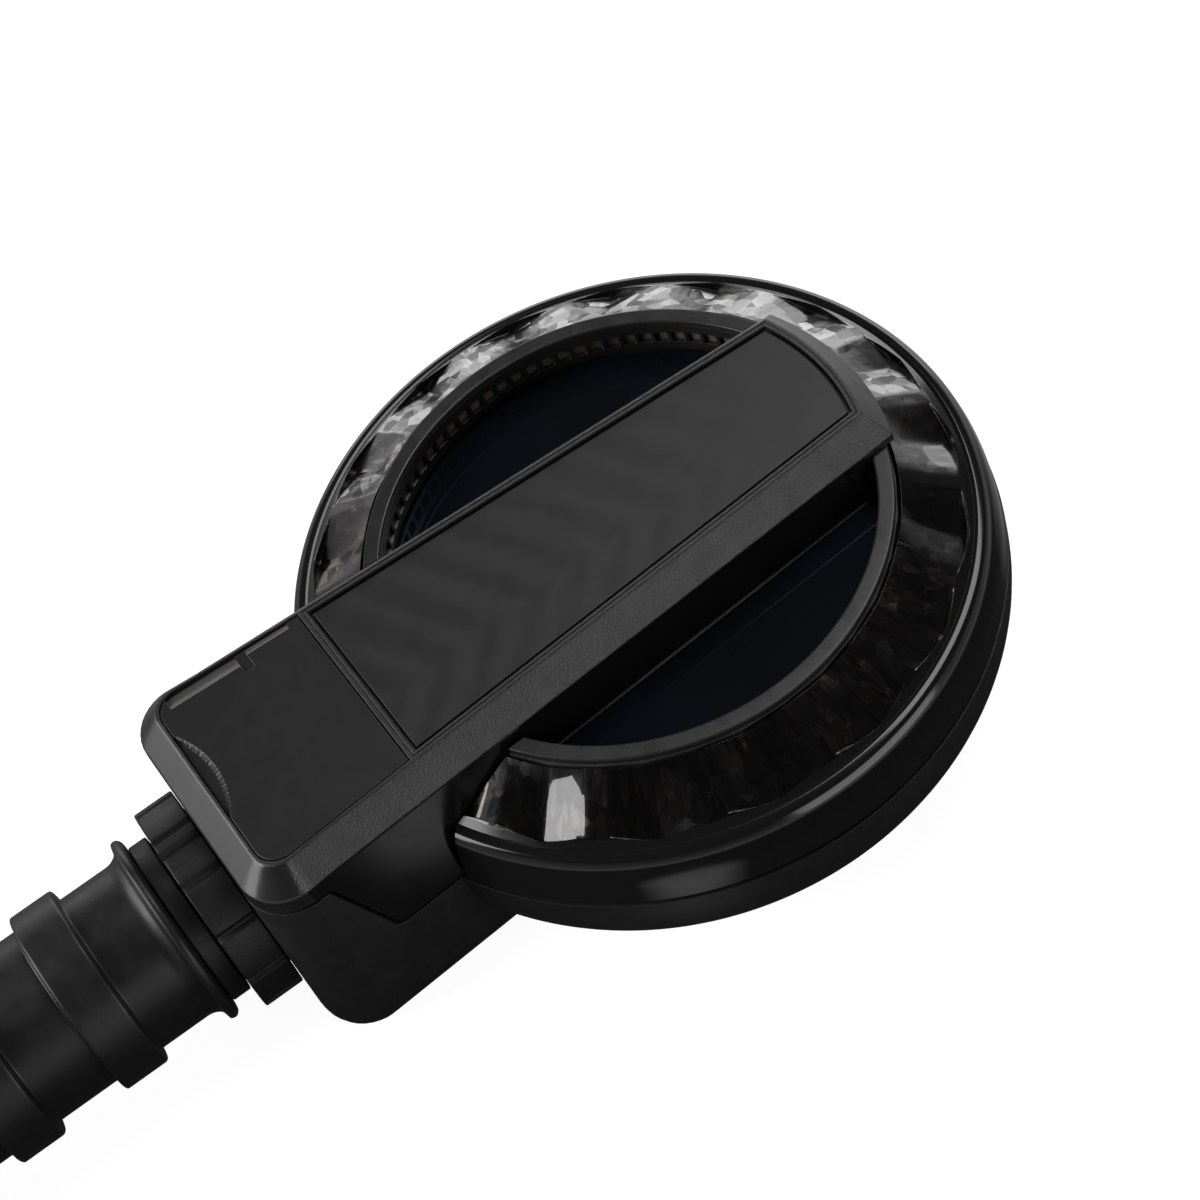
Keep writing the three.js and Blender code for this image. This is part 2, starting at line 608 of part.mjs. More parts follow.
const add = (name, manifold, material, parent = part) => {
  const mesh = new THREE.Mesh(geometryOf(manifold), material);
  mesh.name = name;
  parent.add(mesh);
};

add('back_pan', backPan(), MATT_BLACK);
add('bridge_cover', bridgeCover(), SATIN_BLACK);
add('inset_panel', insetPanel(), SATIN_BLACK);
add('service_cover', serviceCover(), SATIN_BLACK);
add('ring_cover', ringCover(), SMOKED);
add('reflector_ring', reflectorRing(), PRISM);
add('bezel_ring', bezelRing(), SATIN_GREY);
add('inlet_grille', inletGrille(), INLET_BROWN);
add('centre_window', centreWindow(), NAVY_GLASS);
add('window_gasket', windowGasket(), RUBBER);
add('inner_frame', innerFrame(), FRAME_GREY);
add('head_gasket', headGasket(), RUBBER);
screwPlaces.forEach((place, i) => add(`cover_screw_${i + 1}`, coverScrew(place), STEEL));
add('drain_plug', drainPlug(), RUBBER);
add('neck_ferrule', neckFerrule(), GLOSS_BLACK);
add('ferrule_gasket', ferruleGasket(), RUBBER);
add('valve_seat', valveSeat(), FRAME_GREY);
add('seat_seal', seatSeal(), SILICONE);
SEAT_SCREWS_X.forEach((x, i) => add(`seat_screw_${i + 1}`, seatScrew(x), STEEL));
add('hinge_pin', hingePin(), STEEL);
add('float_arm', floatArm(), FRAME_GREY, lever);
add('float_block', floatBlock(), FOAM, lever);
add('valve_flap', valveFlap(), SILICONE, lever);
add('flap_button', flapButton(), STEEL, lever);
add('lock_collar', lockCollar(), MATT_BLACK);
add('tube_nozzle', tubeNozzle(), GLOSS_BLACK);
NOZZLE_RINGS_Y.forEach((y, i) => add(`nozzle_o_ring_${i + 1}`, nozzleRing(y), RUBBER));
add('retaining_ring', retainingRing(), STEEL);
add('spacer_washer', spacerWasher(), MATT_BLACK);
add('convoluted_tube', convolutedTube(), MATT_BLACK);
add('mask_coupling', maskCoupling(), GLOSS_BLACK);
add('coupling_o_ring', couplingRing(), RUBBER);

export default part;
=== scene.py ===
"""Looks for the snorkel tube: smooth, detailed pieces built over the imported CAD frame, in metres."""

import json
import math

import bmesh
import bpy
import numpy as np
from mathutils import Matrix, Vector


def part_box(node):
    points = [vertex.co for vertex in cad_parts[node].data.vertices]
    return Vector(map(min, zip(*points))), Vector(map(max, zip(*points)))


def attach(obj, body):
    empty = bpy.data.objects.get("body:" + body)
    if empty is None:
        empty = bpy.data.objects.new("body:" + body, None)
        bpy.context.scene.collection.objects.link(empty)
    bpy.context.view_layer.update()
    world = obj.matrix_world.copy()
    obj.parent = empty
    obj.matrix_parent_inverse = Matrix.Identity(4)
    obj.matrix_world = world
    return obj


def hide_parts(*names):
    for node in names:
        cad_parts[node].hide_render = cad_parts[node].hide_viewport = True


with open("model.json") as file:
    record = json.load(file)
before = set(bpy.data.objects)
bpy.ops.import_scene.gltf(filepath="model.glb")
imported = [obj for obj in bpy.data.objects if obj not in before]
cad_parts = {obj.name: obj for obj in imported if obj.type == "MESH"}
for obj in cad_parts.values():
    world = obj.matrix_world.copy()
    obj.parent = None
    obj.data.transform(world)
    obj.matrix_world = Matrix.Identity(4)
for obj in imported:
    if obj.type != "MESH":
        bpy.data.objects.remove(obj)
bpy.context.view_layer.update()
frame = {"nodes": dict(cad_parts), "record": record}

# ---------- driving dimensions, in millimetres ----------
# The head's axis is Z, from its flat back at 0 to the bar's top. The tube runs towards -Y.
MM = 0.001
X, Y, Z = 0, 1, 2


def edge(node, corner, axis):
    """One coordinate of a CAD node's box: corner 0 is the lowest, 1 the highest."""
    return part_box(node)[corner][axis] / MM


PAN_R = edge("back_pan", 1, X)
PAN_FILLET = 17.2
WALL = 2.0
GAP = 0.3
SEAM_GAP = 0.32
WINDOW_Z = edge("centre_window", 1, Z)
WINDOW_R = edge("centre_window", 1, X)
BEZEL_Z = edge("bezel_ring", 1, Z)
TOP_Z = edge("bridge_cover", 1, Z)
CHAMFER_Z = TOP_Z - 4.0
CHAMFER_REACH = 3.7
SEAM_Z = edge("bridge_cover", 0, Z)
NECK_SEAM_Z = 34.5
RIM_Z = 29.5
SKIRT_R = edge("ring_cover", 1, X)
RIM_R = SKIRT_R - 2.0
SCOOPS = 18
SCOOP_PITCH = 2 * math.pi / SCOOPS
SCOOP_DEPTH = 1.5
SCOOP_WIDTH = 0.8
SCOOP_INNER_R = 38.3
SCOOP_OUTER_R = 46.3
SCOOP_BULGE = 0.5
SCOOP_END_WIDTH = 0.55
BAR_HALF = 13.3
BAR_TAPER = 0.0565
BAR_END_R = 35.7
NECK_END_Y = -68.0
NECK_CORNER_R = 3.5
NECK_END_REACH = 3.75
CHAMFER_WIDTH = 3.3
SIDE_FLARE = 0.17
NECK_FILLET = 7.0
NECK_FLOOR_REACH = 7.1
FILLET_STEPS = 8
GLOSS_START_Y = -64.0
FLAP_START_Y = -62.2
FLAP_END_Y = -56.7
PANEL_TOP_Y = -42.6
PANEL_DEPTH = 1.0
SERVICE_TOP_Y = -43.9
TUBE_Z = 17.75
TUBE_R = 12.5
TUBE_BORE_R = 10.7
TUBE_TOP_Y = edge("convoluted_tube", 1, Y)
TUBE_END_Y = edge("convoluted_tube", 0, Y)
FLANGE_R = edge("convoluted_tube", 1, X)
BAND_R = 14.35
BAND_WIDTH = 7.3
BAND_PITCH = 17.0
FIRST_BAND_Y = -93.0
BANDS = 6
COLLAR_R = edge("lock_collar", 1, X)
COLLAR_PADS = 12
COLLAR_BACK_Y = NECK_END_Y - NECK_END_REACH - 0.15
HEAD_SEGMENTS = 288
TUBE_SEGMENTS = 160
SMALL_SEGMENTS = 64

# How far the tools that cut other pieces reach, past anything they cut.
FAR = 60.0
NECKWARD = -90.0
UNDER = -5.0
SHELL_TOP = 40.0
SLOT_LOW = 10.0
SLOT_TOP = 45.0
SLOT_REACH = 10.0


# ---------- mesh building ----------
def length(v):
    return float(np.linalg.norm(v))


def soften(points, reach, steps=4, closed=False):
    """Rounds a polyline's corners with short curves. Reach is how far each curve goes along its two sides."""
    points = [np.array(p, float) for p in points]
    count = len(points)
    made = []
    for i, p in enumerate(points):
        r = reach[i] if isinstance(reach, (list, tuple)) else reach
        if r <= 0 or (not closed and i in (0, count - 1)):
            made.append(p)
            continue
        a, b = points[i - 1] - p, points[(i + 1) % count] - p
        start = p + a / length(a) * min(r, 0.45 * length(a))
        end = p + b / length(b) * min(r, 0.45 * length(b))
        for k in range(steps + 1):
            t = k / steps
            made.append((1 - t) ** 2 * start + 2 * t * (1 - t) * p + t * t * end)
    return made


def new_object(name, data):
    made = bpy.data.objects.new(name, data)
    bpy.context.scene.collection.objects.link(made)
    return made


def piece_from(name, verts, faces):
    """A closed mesh object from points in millimetres, its faces turned outwards."""
    mesh = bpy.data.meshes.new(name)
    mesh.from_pydata((np.array(verts, float) * MM).tolist(), [], faces)
    built = bmesh.new()
    built.from_mesh(mesh)
    bmesh.ops.remove_doubles(built, verts=built.verts, dist=2e-6)
    bmesh.ops.dissolve_degenerate(built, edges=built.edges, dist=1e-7)
    bmesh.ops.recalc_face_normals(built, faces=built.faces)
    built.to_mesh(mesh)
    built.free()
    return new_object(name, mesh)


def ring_faces(rows, columns, closed_rows, closed_columns=True):
    """Quads of a grid of points, indexed row * columns + column."""
    faces = []
    for i in range(rows if closed_rows else rows - 1):
        for j in range(columns if closed_columns else columns - 1):
            a, b = i * columns + j, i * columns + (j + 1) % columns
            c, d = ((i + 1) % rows) * columns + j, ((i + 1) % rows) * columns + (j + 1) % columns
            faces.append((a, b, d, c))
    return faces


def revolve(name, profile, segments=HEAD_SEGMENTS, warp=None, tube=False, closed=True):
    """A profile of (radius, height) turned about the head's axis, or of (radius, y) about the tube's."""
    profile = np.array(profile, float)
    theta = np.arange(segments) * 2 * math.pi / segments
    turn = np.repeat(theta[:, None], len(profile), axis=1)
    radius = np.repeat(profile[None, :, 0], segments, axis=0)
    height = np.repeat(profile[None, :, 1], segments, axis=0)
    if warp:
        radius, height = warp(turn, radius, height)
    across, along = radius * np.cos(turn), radius * np.sin(turn)
    layers = (across, height, along + TUBE_Z) if tube else (across, along, height)
    verts = np.stack(layers, -1).reshape(-1, 3)
    return piece_from(name, verts, ring_faces(segments, len(profile), True, closed))


def loft(name, levels):
    """A closed solid through outlines of equal point counts, each given with its height."""
    count = len(levels[0][1])
    verts = [(x, y, z) for z, outline in levels for x, y in outline]
    faces = ring_faces(len(levels), count, False)
    faces.append(tuple(range(count)))
    faces.append(tuple(range((len(levels) - 1) * count, len(levels) * count)))
    return piece_from(name, verts, faces)


def slab(name, outline, low, high, rounding=0.0):
    """An outline between two heights. A rounding above zero softens its upper edge."""
    if rounding <= 0:
        return loft(name, [(low, outline), (high, outline)])
    centre = np.mean(outline, axis=0)
    levels = [(low, outline)]
    for k in range(4):
        angle = math.pi / 2 * k / 3
        inset = rounding * (1 - math.cos(angle))
        shrunk = [np.array(p) - inset * np.sign(np.array(p) - centre) for p in outline]
        levels.append((high - rounding * (1 - math.sin(angle)), shrunk))
    return loft(name, levels)


def box_piece(name, low, high):
    """A box between its lowest and highest corners."""
    x0, y0, z0 = low
    x1, y1, z1 = high
    outline = [(x0, y0), (x1, y0), (x1, y1), (x0, y1)]
    return slab(name, outline, z0, z1)


def circle(count):
    """Evenly spaced angles, once round."""
    return [2 * math.pi * i / count for i in range(count)]


def on_circle(x, y, r, angle):
    """The point of a circle about x, y at an angle."""
    return x + r * math.cos(angle), y + r * math.sin(angle)


def loop(theta, r, z):
    """A loop of points about the head's axis. Its radius and height may change with the angle."""
    return np.stack([r * np.cos(theta), r * np.sin(theta), z + 0 * theta], -1)


def post(name, x, y, low, high, r, segments=SMALL_SEGMENTS):
    """An upright cylinder at x, y between two heights."""
    return slab(name, [on_circle(x, y, r, a) for a in circle(segments)], low, high)


def side_prism(name, outline, half_width):
    """An outline in the Y-Z plane, extruded along X."""
    verts = [(x, y, z) for x in (-half_width, half_width) for y, z in outline]
    count = len(outline)
    faces = ring_faces(2, count, False)
    faces += [tuple(range(count)), tuple(range(count, 2 * count))]
    return piece_from(name, verts, faces)


def combine(piece, tool, operation):
    """Applies a boolean with the tool, which is then removed."""
    modifier = piece.modifiers.new("combine", "BOOLEAN")
    modifier.operation = operation
    modifier.solver = "MANIFOLD"
    modifier.object = tool
    evaluated = piece.evaluated_get(bpy.context.evaluated_depsgraph_get())
    mesh = bpy.data.meshes.new_from_object(evaluated)
    piece.modifiers.clear()
    piece.data = mesh
    bpy.data.objects.remove(tool)
    return piece


def cut(piece, *tools):
    """Takes the tools' space out of a piece."""
    for tool in tools:
        combine(piece, tool, "DIFFERENCE")
    return piece


def join(piece, *tools):
    """Adds the tools' space to a piece."""
    for tool in tools:
        combine(piece, tool, "UNION")
    return piece


def settle(piece, material, body, *nodes, sharp=30):
    """Shades a finished piece, gives it its material, and puts it on its body in place of CAD nodes."""
    piece.data.shade_smooth()
    piece.data.set_sharp_from_angle(angle=math.radians(sharp))
    weighted = piece.modifiers.new("normals", "WEIGHTED_NORMAL")
    weighted.keep_sharp = True
    piece.data.materials.clear()
    for m in material if isinstance(material, (list, tuple)) else [material]:
        piece.data.materials.append(m)
    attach(piece, body)
    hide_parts(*nodes)


def mark(piece, chosen):
    """Gives the second material to faces that a test of centre, in millimetres, and normal picks."""
    for face in piece.data.polygons:
        if chosen(face.center / MM, face.normal):
            face.material_index = 1


# ---------- materials ----------
def feed(node, inputs):
    """Sets a node's inputs by name: each a socket to link, a number, a vector or a colour."""
    for name, value in inputs.items():
        socket = node.inputs[name]
        if isinstance(value, bpy.types.NodeSocket):
            node.id_data.links.new(value, socket)
        elif socket.type == "RGBA":
            socket.default_value = (*value, 1)
        else:
            socket.default_value = value


def add_node(tree, kind, inputs=None, **settings):
    """A new shader node with its settings and inputs. Helpers find the tree from a socket's id_data."""
    node = tree.nodes.new("ShaderNode" + kind)
    for name, value in settings.items():
        setattr(node, name, value)
    feed(node, inputs or {})
    return node


def source(node, name):
    """The socket that an input is linked to."""
    return node.inputs[name].links[0].from_socket


def shader_of(material):
    """A material's node tree and its shader node."""
    return material.node_tree, material.node_tree.nodes["Principled BSDF"]


def new_material(name):
    """A new material, with its node tree and its shader node."""
    material = bpy.data.materials.new(name)
    material.use_nodes = True
    return material, *shader_of(material)


def noise(tree, scale, detail=3.0, stretch=(1, 1, 1)):
    """Noise over object space, with scale in features per millimetre."""
    place = add_node(tree, "TexCoord").outputs["Object"]
    mapping = add_node(tree, "Mapping", {"Scale": [scale / MM * s for s in stretch], "Vector": place})
    inputs = {"Scale": 1.0, "Detail": detail, "Vector": mapping.outputs["Vector"]}
    return add_node(tree, "TexNoise", inputs).outputs["Fac"]


def remap(value, low, high, start=0.3, end=0.7):
    """Turns the range from start to end into the range from low to high, and holds it there outside."""
    inputs = {"From Min": start, "From Max": end, "To Min": low, "To Max": high, "Value": value}
    return add_node(value.id_data, "MapRange", inputs).outputs["Result"]


def mix_colors(share, a, b):
    """A colour that goes from a to b, each a socket or three numbers, as a share goes from 0 to 1."""
    inputs = {"Factor": share, "A": a, "B": b}
    return add_node(share.id_data, "Mix", inputs, data_type="RGBA").outputs["Result"]


def bump(value, strength, distance, under):
    """A surface normal raised over another by a height, with distance in millimetres."""
    inputs = {"Strength": strength, "Distance": distance * MM, "Height": value, "Normal": under}
    return add_node(value.id_data, "Bump", inputs).outputs["Normal"]


def rounded_edges(tree, radius):
    """A normal that rounds sharp edges, with the radius in millimetres."""
    return add_node(tree, "Bevel", {"Radius": radius * MM}, samples=4).outputs["Normal"]


CLOUDS_PER_MM = 0.06
GLOSS_PER_MM = 0.35
BRUSHED = (1, 0.1, 1)


def plastic(name, dark, light, roughness, grain=2.0, relief=0.02, spread=0.06, edge_radius=0.15,
            stretch=(1, 1, 1), specular=0.5):
    """Moulded plastic: a fine grain with its relief in millimetres, faint cloudy colour and uneven gloss."""
    material, tree, shader = new_material(name)
    cloud = noise(tree, CLOUDS_PER_MM, 4.0)
    fine = noise(tree, grain, 2.0, stretch)
    feed(shader, {
        "Specular IOR Level": specular,
        "Base Color": mix_colors(remap(cloud, 0, 1), dark, light),
        "Roughness": remap(noise(tree, GLOSS_PER_MM, 3.0), roughness - spread, roughness + spread),
        "Normal": bump(fine, 0.5, relief, rounded_edges(tree, edge_radius)),
    })
    return material


def metal(name, color, roughness):
    """Metal with fine turning lines."""
    material, tree, shader = new_material(name)
    lines = noise(tree, 1.5, 2.0, (1, 1, 8))
    feed(shader, {
        "Metallic": 1.0,
        "Base Color": mix_colors(lines, tuple(0.8 * c for c in color), color),
        "Roughness": remap(lines, roughness - 0.08, roughness + 0.08),
        "Normal": bump(lines, 0.2, 0.01, rounded_edges(tree, 0.1)),
    })
    return material


def calculate(operation, value, *others):
    """The result of a math node, for a socket and others that are sockets or numbers."""
    inputs = dict(enumerate((value, *others)))
    return add_node(value.id_data, "Math", inputs, operation=operation).outputs[0]


def times(a, b):
    """A socket times another, or times a number."""
    return calculate("MULTIPLY", a, b)


def axis_of(vector, axis):
    """One component of a vector socket."""
    return add_node(vector.id_data, "SeparateXYZ", {"Vector": vector}).outputs[axis]


def axis_value(tree, axis):
    """One coordinate in object space, in metres."""
    return axis_of(add_node(tree, "TexCoord").outputs["Object"], axis)


def ramp(tree, axis, low, high, start, end):
    """A value that goes from low to high between two places on an axis, given in millimetres."""
    return remap(axis_value(tree, axis), low, high, start * MM, end * MM)


def flat_distance(dx, dy):
    """The length of an offset in the X-Y plane, given as two sockets."""
    return calculate("SQRT", calculate("ADD", times(dx, dx), times(dy, dy)))


CHEVRON_PITCH = 7.4
CHEVRON_X = 5.0
CHEVRON_LONG_ARM = -0.55
CHEVRON_FADE_Y = 35.0


def chevron_plastic():
    """Satin plastic with faint broad V bands, told apart only by their gloss and a shade of colour."""
    material = plastic("chevron_satin", (0.0115, 0.0115, 0.012), (0.0145, 0.0145, 0.015), 0.4,
                       grain=5.0, relief=0.03, spread=0.03, stretch=BRUSHED)
    tree, shader = shader_of(material)
    along = axis_value(tree, "Y")
    across = calculate("SUBTRACT", axis_value(tree, "X"), CHEVRON_X * MM)
    arms = calculate("MAXIMUM", across, times(across, CHEVRON_LONG_ARM))
    turns = times(calculate("ADD", along, arms), 2 * math.pi / (CHEVRON_PITCH * MM))
    fading = remap(along, 1.0, 0.2, 0, CHEVRON_FADE_Y * MM)
    wave = times(calculate("SINE", turns), fading)
    bands = mix_colors(remap(wave, 0, 1, -1, 1), (0.93, 0.93, 0.93), (1.07, 1.07, 1.07))
    inputs = {"Factor": 1.0, "A": source(shader, "Base Color"), "B": bands}
    shade = add_node(tree, "Mix", inputs, data_type="RGBA", blend_type="MULTIPLY")
    feed(shader, {
        "Base Color": shade.outputs["Result"],
        "Roughness": calculate("ADD", source(shader, "Roughness"), times(wave, 0.025)),
    })
    return material


FOIL_MIDDLE_R = 43.0
FOIL_OUTER_R = 46.9
FOIL_EDGE = 0.2
FOIL_LAYER = 3.0
FOIL_BROWN_Y = -36.0
FOIL_PALE_Y = -10.0


def foil_vector(tree, across, along):
    """Coordinates in cells round the ring and out from its centre, with a cell's two sizes in millimetres."""
    x, y, z = axis_value(tree, "X"), axis_value(tree, "Y"), axis_value(tree, "Z")
    turn = calculate("ARCTAN2", y, x)
    radius = flat_distance(x, y)
    cells = add_node(tree, "CombineXYZ", {
        "X": times(turn, FOIL_MIDDLE_R / across),
        "Y": times(radius, 1 / (along * MM)),
        "Z": times(z, 1 / (FOIL_LAYER * MM)),
    })
    return cells.outputs["Vector"], radius


def add_vectors(a, b):
    return add_node(a.id_data, "VectorMath", {0: a, 1: b}).outputs["Vector"]


def scale_vector(vector, factor):
    inputs = {0: vector, "Scale": factor}
    return add_node(vector.id_data, "VectorMath", inputs, operation="SCALE").outputs["Vector"]


def facets(vector, amount):
    """A random tilt for each cell of a crumpled foil, as an offset for the surface normal, and its colour."""
    tree = vector.id_data
    color = add_node(tree, "TexVoronoi", {"Scale": 1.0, "Vector": vector}).outputs["Color"]
    centred = add_node(tree, "VectorMath", {0: color, 1: (0.5, 0.5, 0.5)}, operation="SUBTRACT")
    return scale_vector(centred.outputs["Vector"], amount), color


def crackle(vector, width):
    """1 along the thin creases between a foil's cells, and 0 away from them."""
    inputs = {"Scale": 1.0, "Vector": vector}
    edges = add_node(vector.id_data, "TexVoronoi", inputs, feature="DISTANCE_TO_EDGE")
    return remap(edges.outputs["Distance"], 1, 0, 0, width)


def foil_tilt(tree, fine_tilt, coarse_tilt, inside, grazing):
    """The surface normal, crumpled inside the scoops and most where it is seen at a grazing angle."""
    crumpled = times(inside, remap(grazing, 0.5, 1, 0, 1))
    tilt = scale_vector(add_vectors(fine_tilt, coarse_tilt), crumpled)
    return add_vectors(add_node(tree, "NewGeometry").outputs["Normal"], tilt)


def foil_shades(tree, fine, fine_color, coarse_color, grazing):
    """The foil's colour: dark straws where it is seen steeply, and pale cells where it grazes."""
    warmth = remap(noise(tree, 0.10, 2.0), 0, 1, 0.42, 0.6)
    straw = calculate("POWER", axis_of(fine_color, "X"), 2.0)
    brown = mix_colors(warmth, (0.026, 0.026, 0.026), (0.032, 0.025, 0.020))
    steep = mix_colors(straw, (0.012, 0.012, 0.012), brown)
    cell = axis_of(coarse_color, "X")
    neckward = ramp(tree, "Y", 1, 0, FOIL_BROWN_Y, FOIL_PALE_Y)
    browned = calculate("MAXIMUM", neckward, times(warmth, 0.25))
    pale = mix_colors(browned, (0.32, 0.32, 0.32), (0.085, 0.066, 0.053))
    grazed = mix_colors(cell, (0.02, 0.02, 0.02), pale)
    shades = mix_colors(grazing, steep, grazed)
    creases = times(crackle(fine, 0.06), remap(noise(tree, 0.3), 0, 1, 0.5, 0.7))
    return mix_colors(creases, shades, (0.09, 0.078, 0.065))


def smoked_over_foil():
    """A clear polished coat over dark crumpled foil inside the scoops, and plain gloss black outside them."""
    material, tree, shader = new_material("smoked_over_foil")
    fine, radius = foil_vector(tree, across=0.9, along=5.5)
    coarse, radius = foil_vector(tree, across=2.2, along=1.9)
    inside = remap(radius, 1, 0, (FOIL_OUTER_R - FOIL_EDGE) * MM, FOIL_OUTER_R * MM)
    facing = add_node(tree, "LayerWeight", {"Blend": 0.5}).outputs["Facing"]
    grazing = remap(facing, 0, 1, 0.25, 0.6)
    fine_tilt, fine_color = facets(fine, 0.14)
    coarse_tilt, coarse_color = facets(coarse, 0.26)
    normal = foil_tilt(tree, fine_tilt, coarse_tilt, inside, grazing)
    shades = foil_shades(tree, fine, fine_color, coarse_color, grazing)
    feed(shader, {
        "Normal": normal,
        "Base Color": mix_colors(inside, (0.0072, 0.0072, 0.0076), shades),
        "Metallic": inside,
        "Roughness": remap(inside, 0.14, 0.3, 0, 1),
        "Specular IOR Level": remap(inside, 0.35, 0.5, 0, 1),
    })
    clear = remap(grazing, 1, 0.35, 0, 1)
    feed(shader, {
        "Coat Weight": times(remap(inside, 0.2, 1, 0, 1), clear),
        "Coat Roughness": remap(inside, 0.1, 0.02, 0, 1),
        "Coat Normal": bump(noise(tree, 0.25, 2.0), 0.15, 0.04, rounded_edges(tree, 0.1)),
    })
    return material


WORN_END_Y = -66.5
GRAINED_Y = -63.5


def bridge_plastic():
    """Grained plastic, worn to a polish on the slope at the neck's end, but not on the level top."""
    material = plastic("bridge_black", (0.0115, 0.0115, 0.012), (0.0155, 0.0155, 0.016), 0.4,
                       grain=3.3, relief=0.17, spread=0.04, edge_radius=0.3)
    tree, shader = shader_of(material)
    grained = ramp(tree, "Y", 0, 1, WORN_END_Y, GRAINED_Y)
    level = calculate("GREATER_THAN", axis_value(tree, "Z"), (TOP_Z - 0.15) * MM)
    kept = calculate("MAXIMUM", grained, level)
    feed(shader, {
        "Roughness": times(source(shader, "Roughness"), remap(kept, 0.4, 1, 0, 1)),
        "Specular IOR Level": remap(kept, 0.7, 0.5, 0, 1),
    })
    feed(source(shader, "Normal").node, {"Strength": remap(kept, 0.05, 0.5, 0, 1)})
    return material


BLUER_Y = -26.0
PLAIN_Y = -4.0


def window_plastic():
    """Deep navy, polished, with a bluer cloud towards the neck."""
    material = plastic("navy_window", (0.0030, 0.0038, 0.0052), (0.0044, 0.0056, 0.0078), 0.05,
                       grain=0.1, relief=0.002, spread=0.02, specular=0.3)
    tree, shader = shader_of(material)
    cloud = remap(noise(tree, 0.05, 2.0), 0, 1, 0.45, 0.65)
    neckward = ramp(tree, "Y", 1, 0, BLUER_Y, PLAIN_Y)
    share = times(calculate("ADD", cloud, neckward), 0.5)
    bluer = mix_colors(share, source(shader, "Base Color"), (0.003, 0.0075, 0.014))
    feed(shader, {"Base Color": bluer})
    return material


MATT = plastic("matt_black", (0.0052, 0.0054, 0.0058), (0.0085, 0.0087, 0.0092), 0.52,
               grain=2.4, relief=0.04)
SATIN = plastic("satin_black", (0.012, 0.012, 0.0125), (0.017, 0.017, 0.0175), 0.4, grain=3.0)
PLATE = plastic("plate_black", (0.0105, 0.0105, 0.011), (0.0125, 0.0125, 0.013), 0.36,
                grain=5.0, relief=0.035, spread=0.015, stretch=BRUSHED)
TUBE_PLASTIC = plastic("tube_black", (0.0055, 0.0055, 0.0058), (0.0085, 0.0085, 0.009), 0.42,
                       grain=1.6, specular=0.42)
# A pale colour for the plate's sloped edge strips: a painted highlight.
PAINTED_EDGE_HIGHLIGHT = plastic("painted_edge_highlight", (0.055, 0.052, 0.049), (0.1, 0.095, 0.088), 0.34,
                    grain=3.0, relief=0.04, spread=0.05)
COLLAR_BLACK = plastic("collar_black", (0.0052, 0.0054, 0.0058), (0.008, 0.0082, 0.0086), 0.5,
                       grain=2.4, relief=0.06, specular=0.36)
GLOSS = plastic("gloss_black", (0.004, 0.004, 0.0045), (0.006, 0.006, 0.0065), 0.12,
                grain=0.8, relief=0.004, spread=0.03)
CHEVRON = chevron_plastic()
SMOKED = smoked_over_foil()
BEZEL = plastic("bezel_grey", (0.015, 0.015, 0.015), (0.02, 0.02, 0.02), 0.3, grain=2.5, relief=0.015)
INLET = plastic("inlet_frame", (0.012, 0.011, 0.010), (0.018, 0.016, 0.014), 0.35, grain=1.5)
INLET_LIT = plastic("inlet_lit", (0.075, 0.062, 0.053), (0.16, 0.13, 0.11), 0.4, grain=0.6, relief=0.08)
NAVY = window_plastic()
BRIDGE = bridge_plastic()
SIDE_GLOSS = plastic("side_gloss", (0.0042, 0.0042, 0.0048), (0.0062, 0.0062, 0.007), 0.16,
                     grain=0.8, relief=0.006, spread=0.03, edge_radius=0.3)
FRAME_GREY = plastic("frame_grey", (0.03, 0.03, 0.031), (0.045, 0.045, 0.046), 0.55, grain=1.5, relief=0.03)
RUBBER = plastic("seal_rubber", (0.012, 0.012, 0.012), (0.02, 0.02, 0.02), 0.75, grain=3.0, relief=0.05)
SILICONE = plastic("silicone", (0.42, 0.42, 0.4), (0.52, 0.52, 0.5), 0.5)
FOAM = plastic("foam", (0.5, 0.47, 0.4), (0.62, 0.6, 0.54), 0.85, grain=1.2, relief=0.25)
FOIL = plastic("prism_foil", (0.10, 0.085, 0.07), (0.3, 0.27, 0.24), 0.25, grain=0.5, relief=0.5)
STEEL = metal("steel", (0.6, 0.6, 0.62), 0.3)

# By the material slots of the record.
CAD_MATERIALS = {
    "matt_black_plastic": MATT, "satin_black_plastic": SATIN, "gloss_black_plastic": GLOSS,
    "smoked_clear_plastic": SMOKED, "prism_foil": FOIL, "satin_grey_plastic": BEZEL,
    "brown_plastic": INLET, "navy_window": NAVY, "frame_plastic": FRAME_GREY,
    "seal_rubber": RUBBER, "silicone": SILICONE, "foam": FOAM, "steel": STEEL,
}


def paint_cad_nodes():
    """Gives every CAD node its material, so that hidden nodes are finished too."""
    for entry in frame["record"]["subparts"]:
        piece = frame["nodes"][entry["node"]]
        piece.data.materials.clear()
        piece.data.materials.append(CAD_MATERIALS[entry["material_slot"]])


# ---------- plan outlines of the bar and neck ----------
def arc(cx, cy, r, start, end, steps):
    return [on_circle(cx, cy, r, start + (end - start) * i / steps) for i in range(steps + 1)]


def half_width(y):
    """Half the bar's width at its top. It narrows towards the free end."""
    return BAR_HALF - BAR_TAPER * y


def neck_end(dx, dy, steps=10):
    """The neck's rounded end, grown by dx at the sides and dy at the end."""
    y = NECK_END_Y - dy
    x = half_width(NECK_END_Y) + dx
    r = NECK_CORNER_R + max(0.0, min(dx, dy))
    left = arc(-x + r, y + r, r, math.pi, 1.5 * math.pi, steps)
    return left + arc(x - r, y + r, r, 1.5 * math.pi, 2 * math.pi, steps)


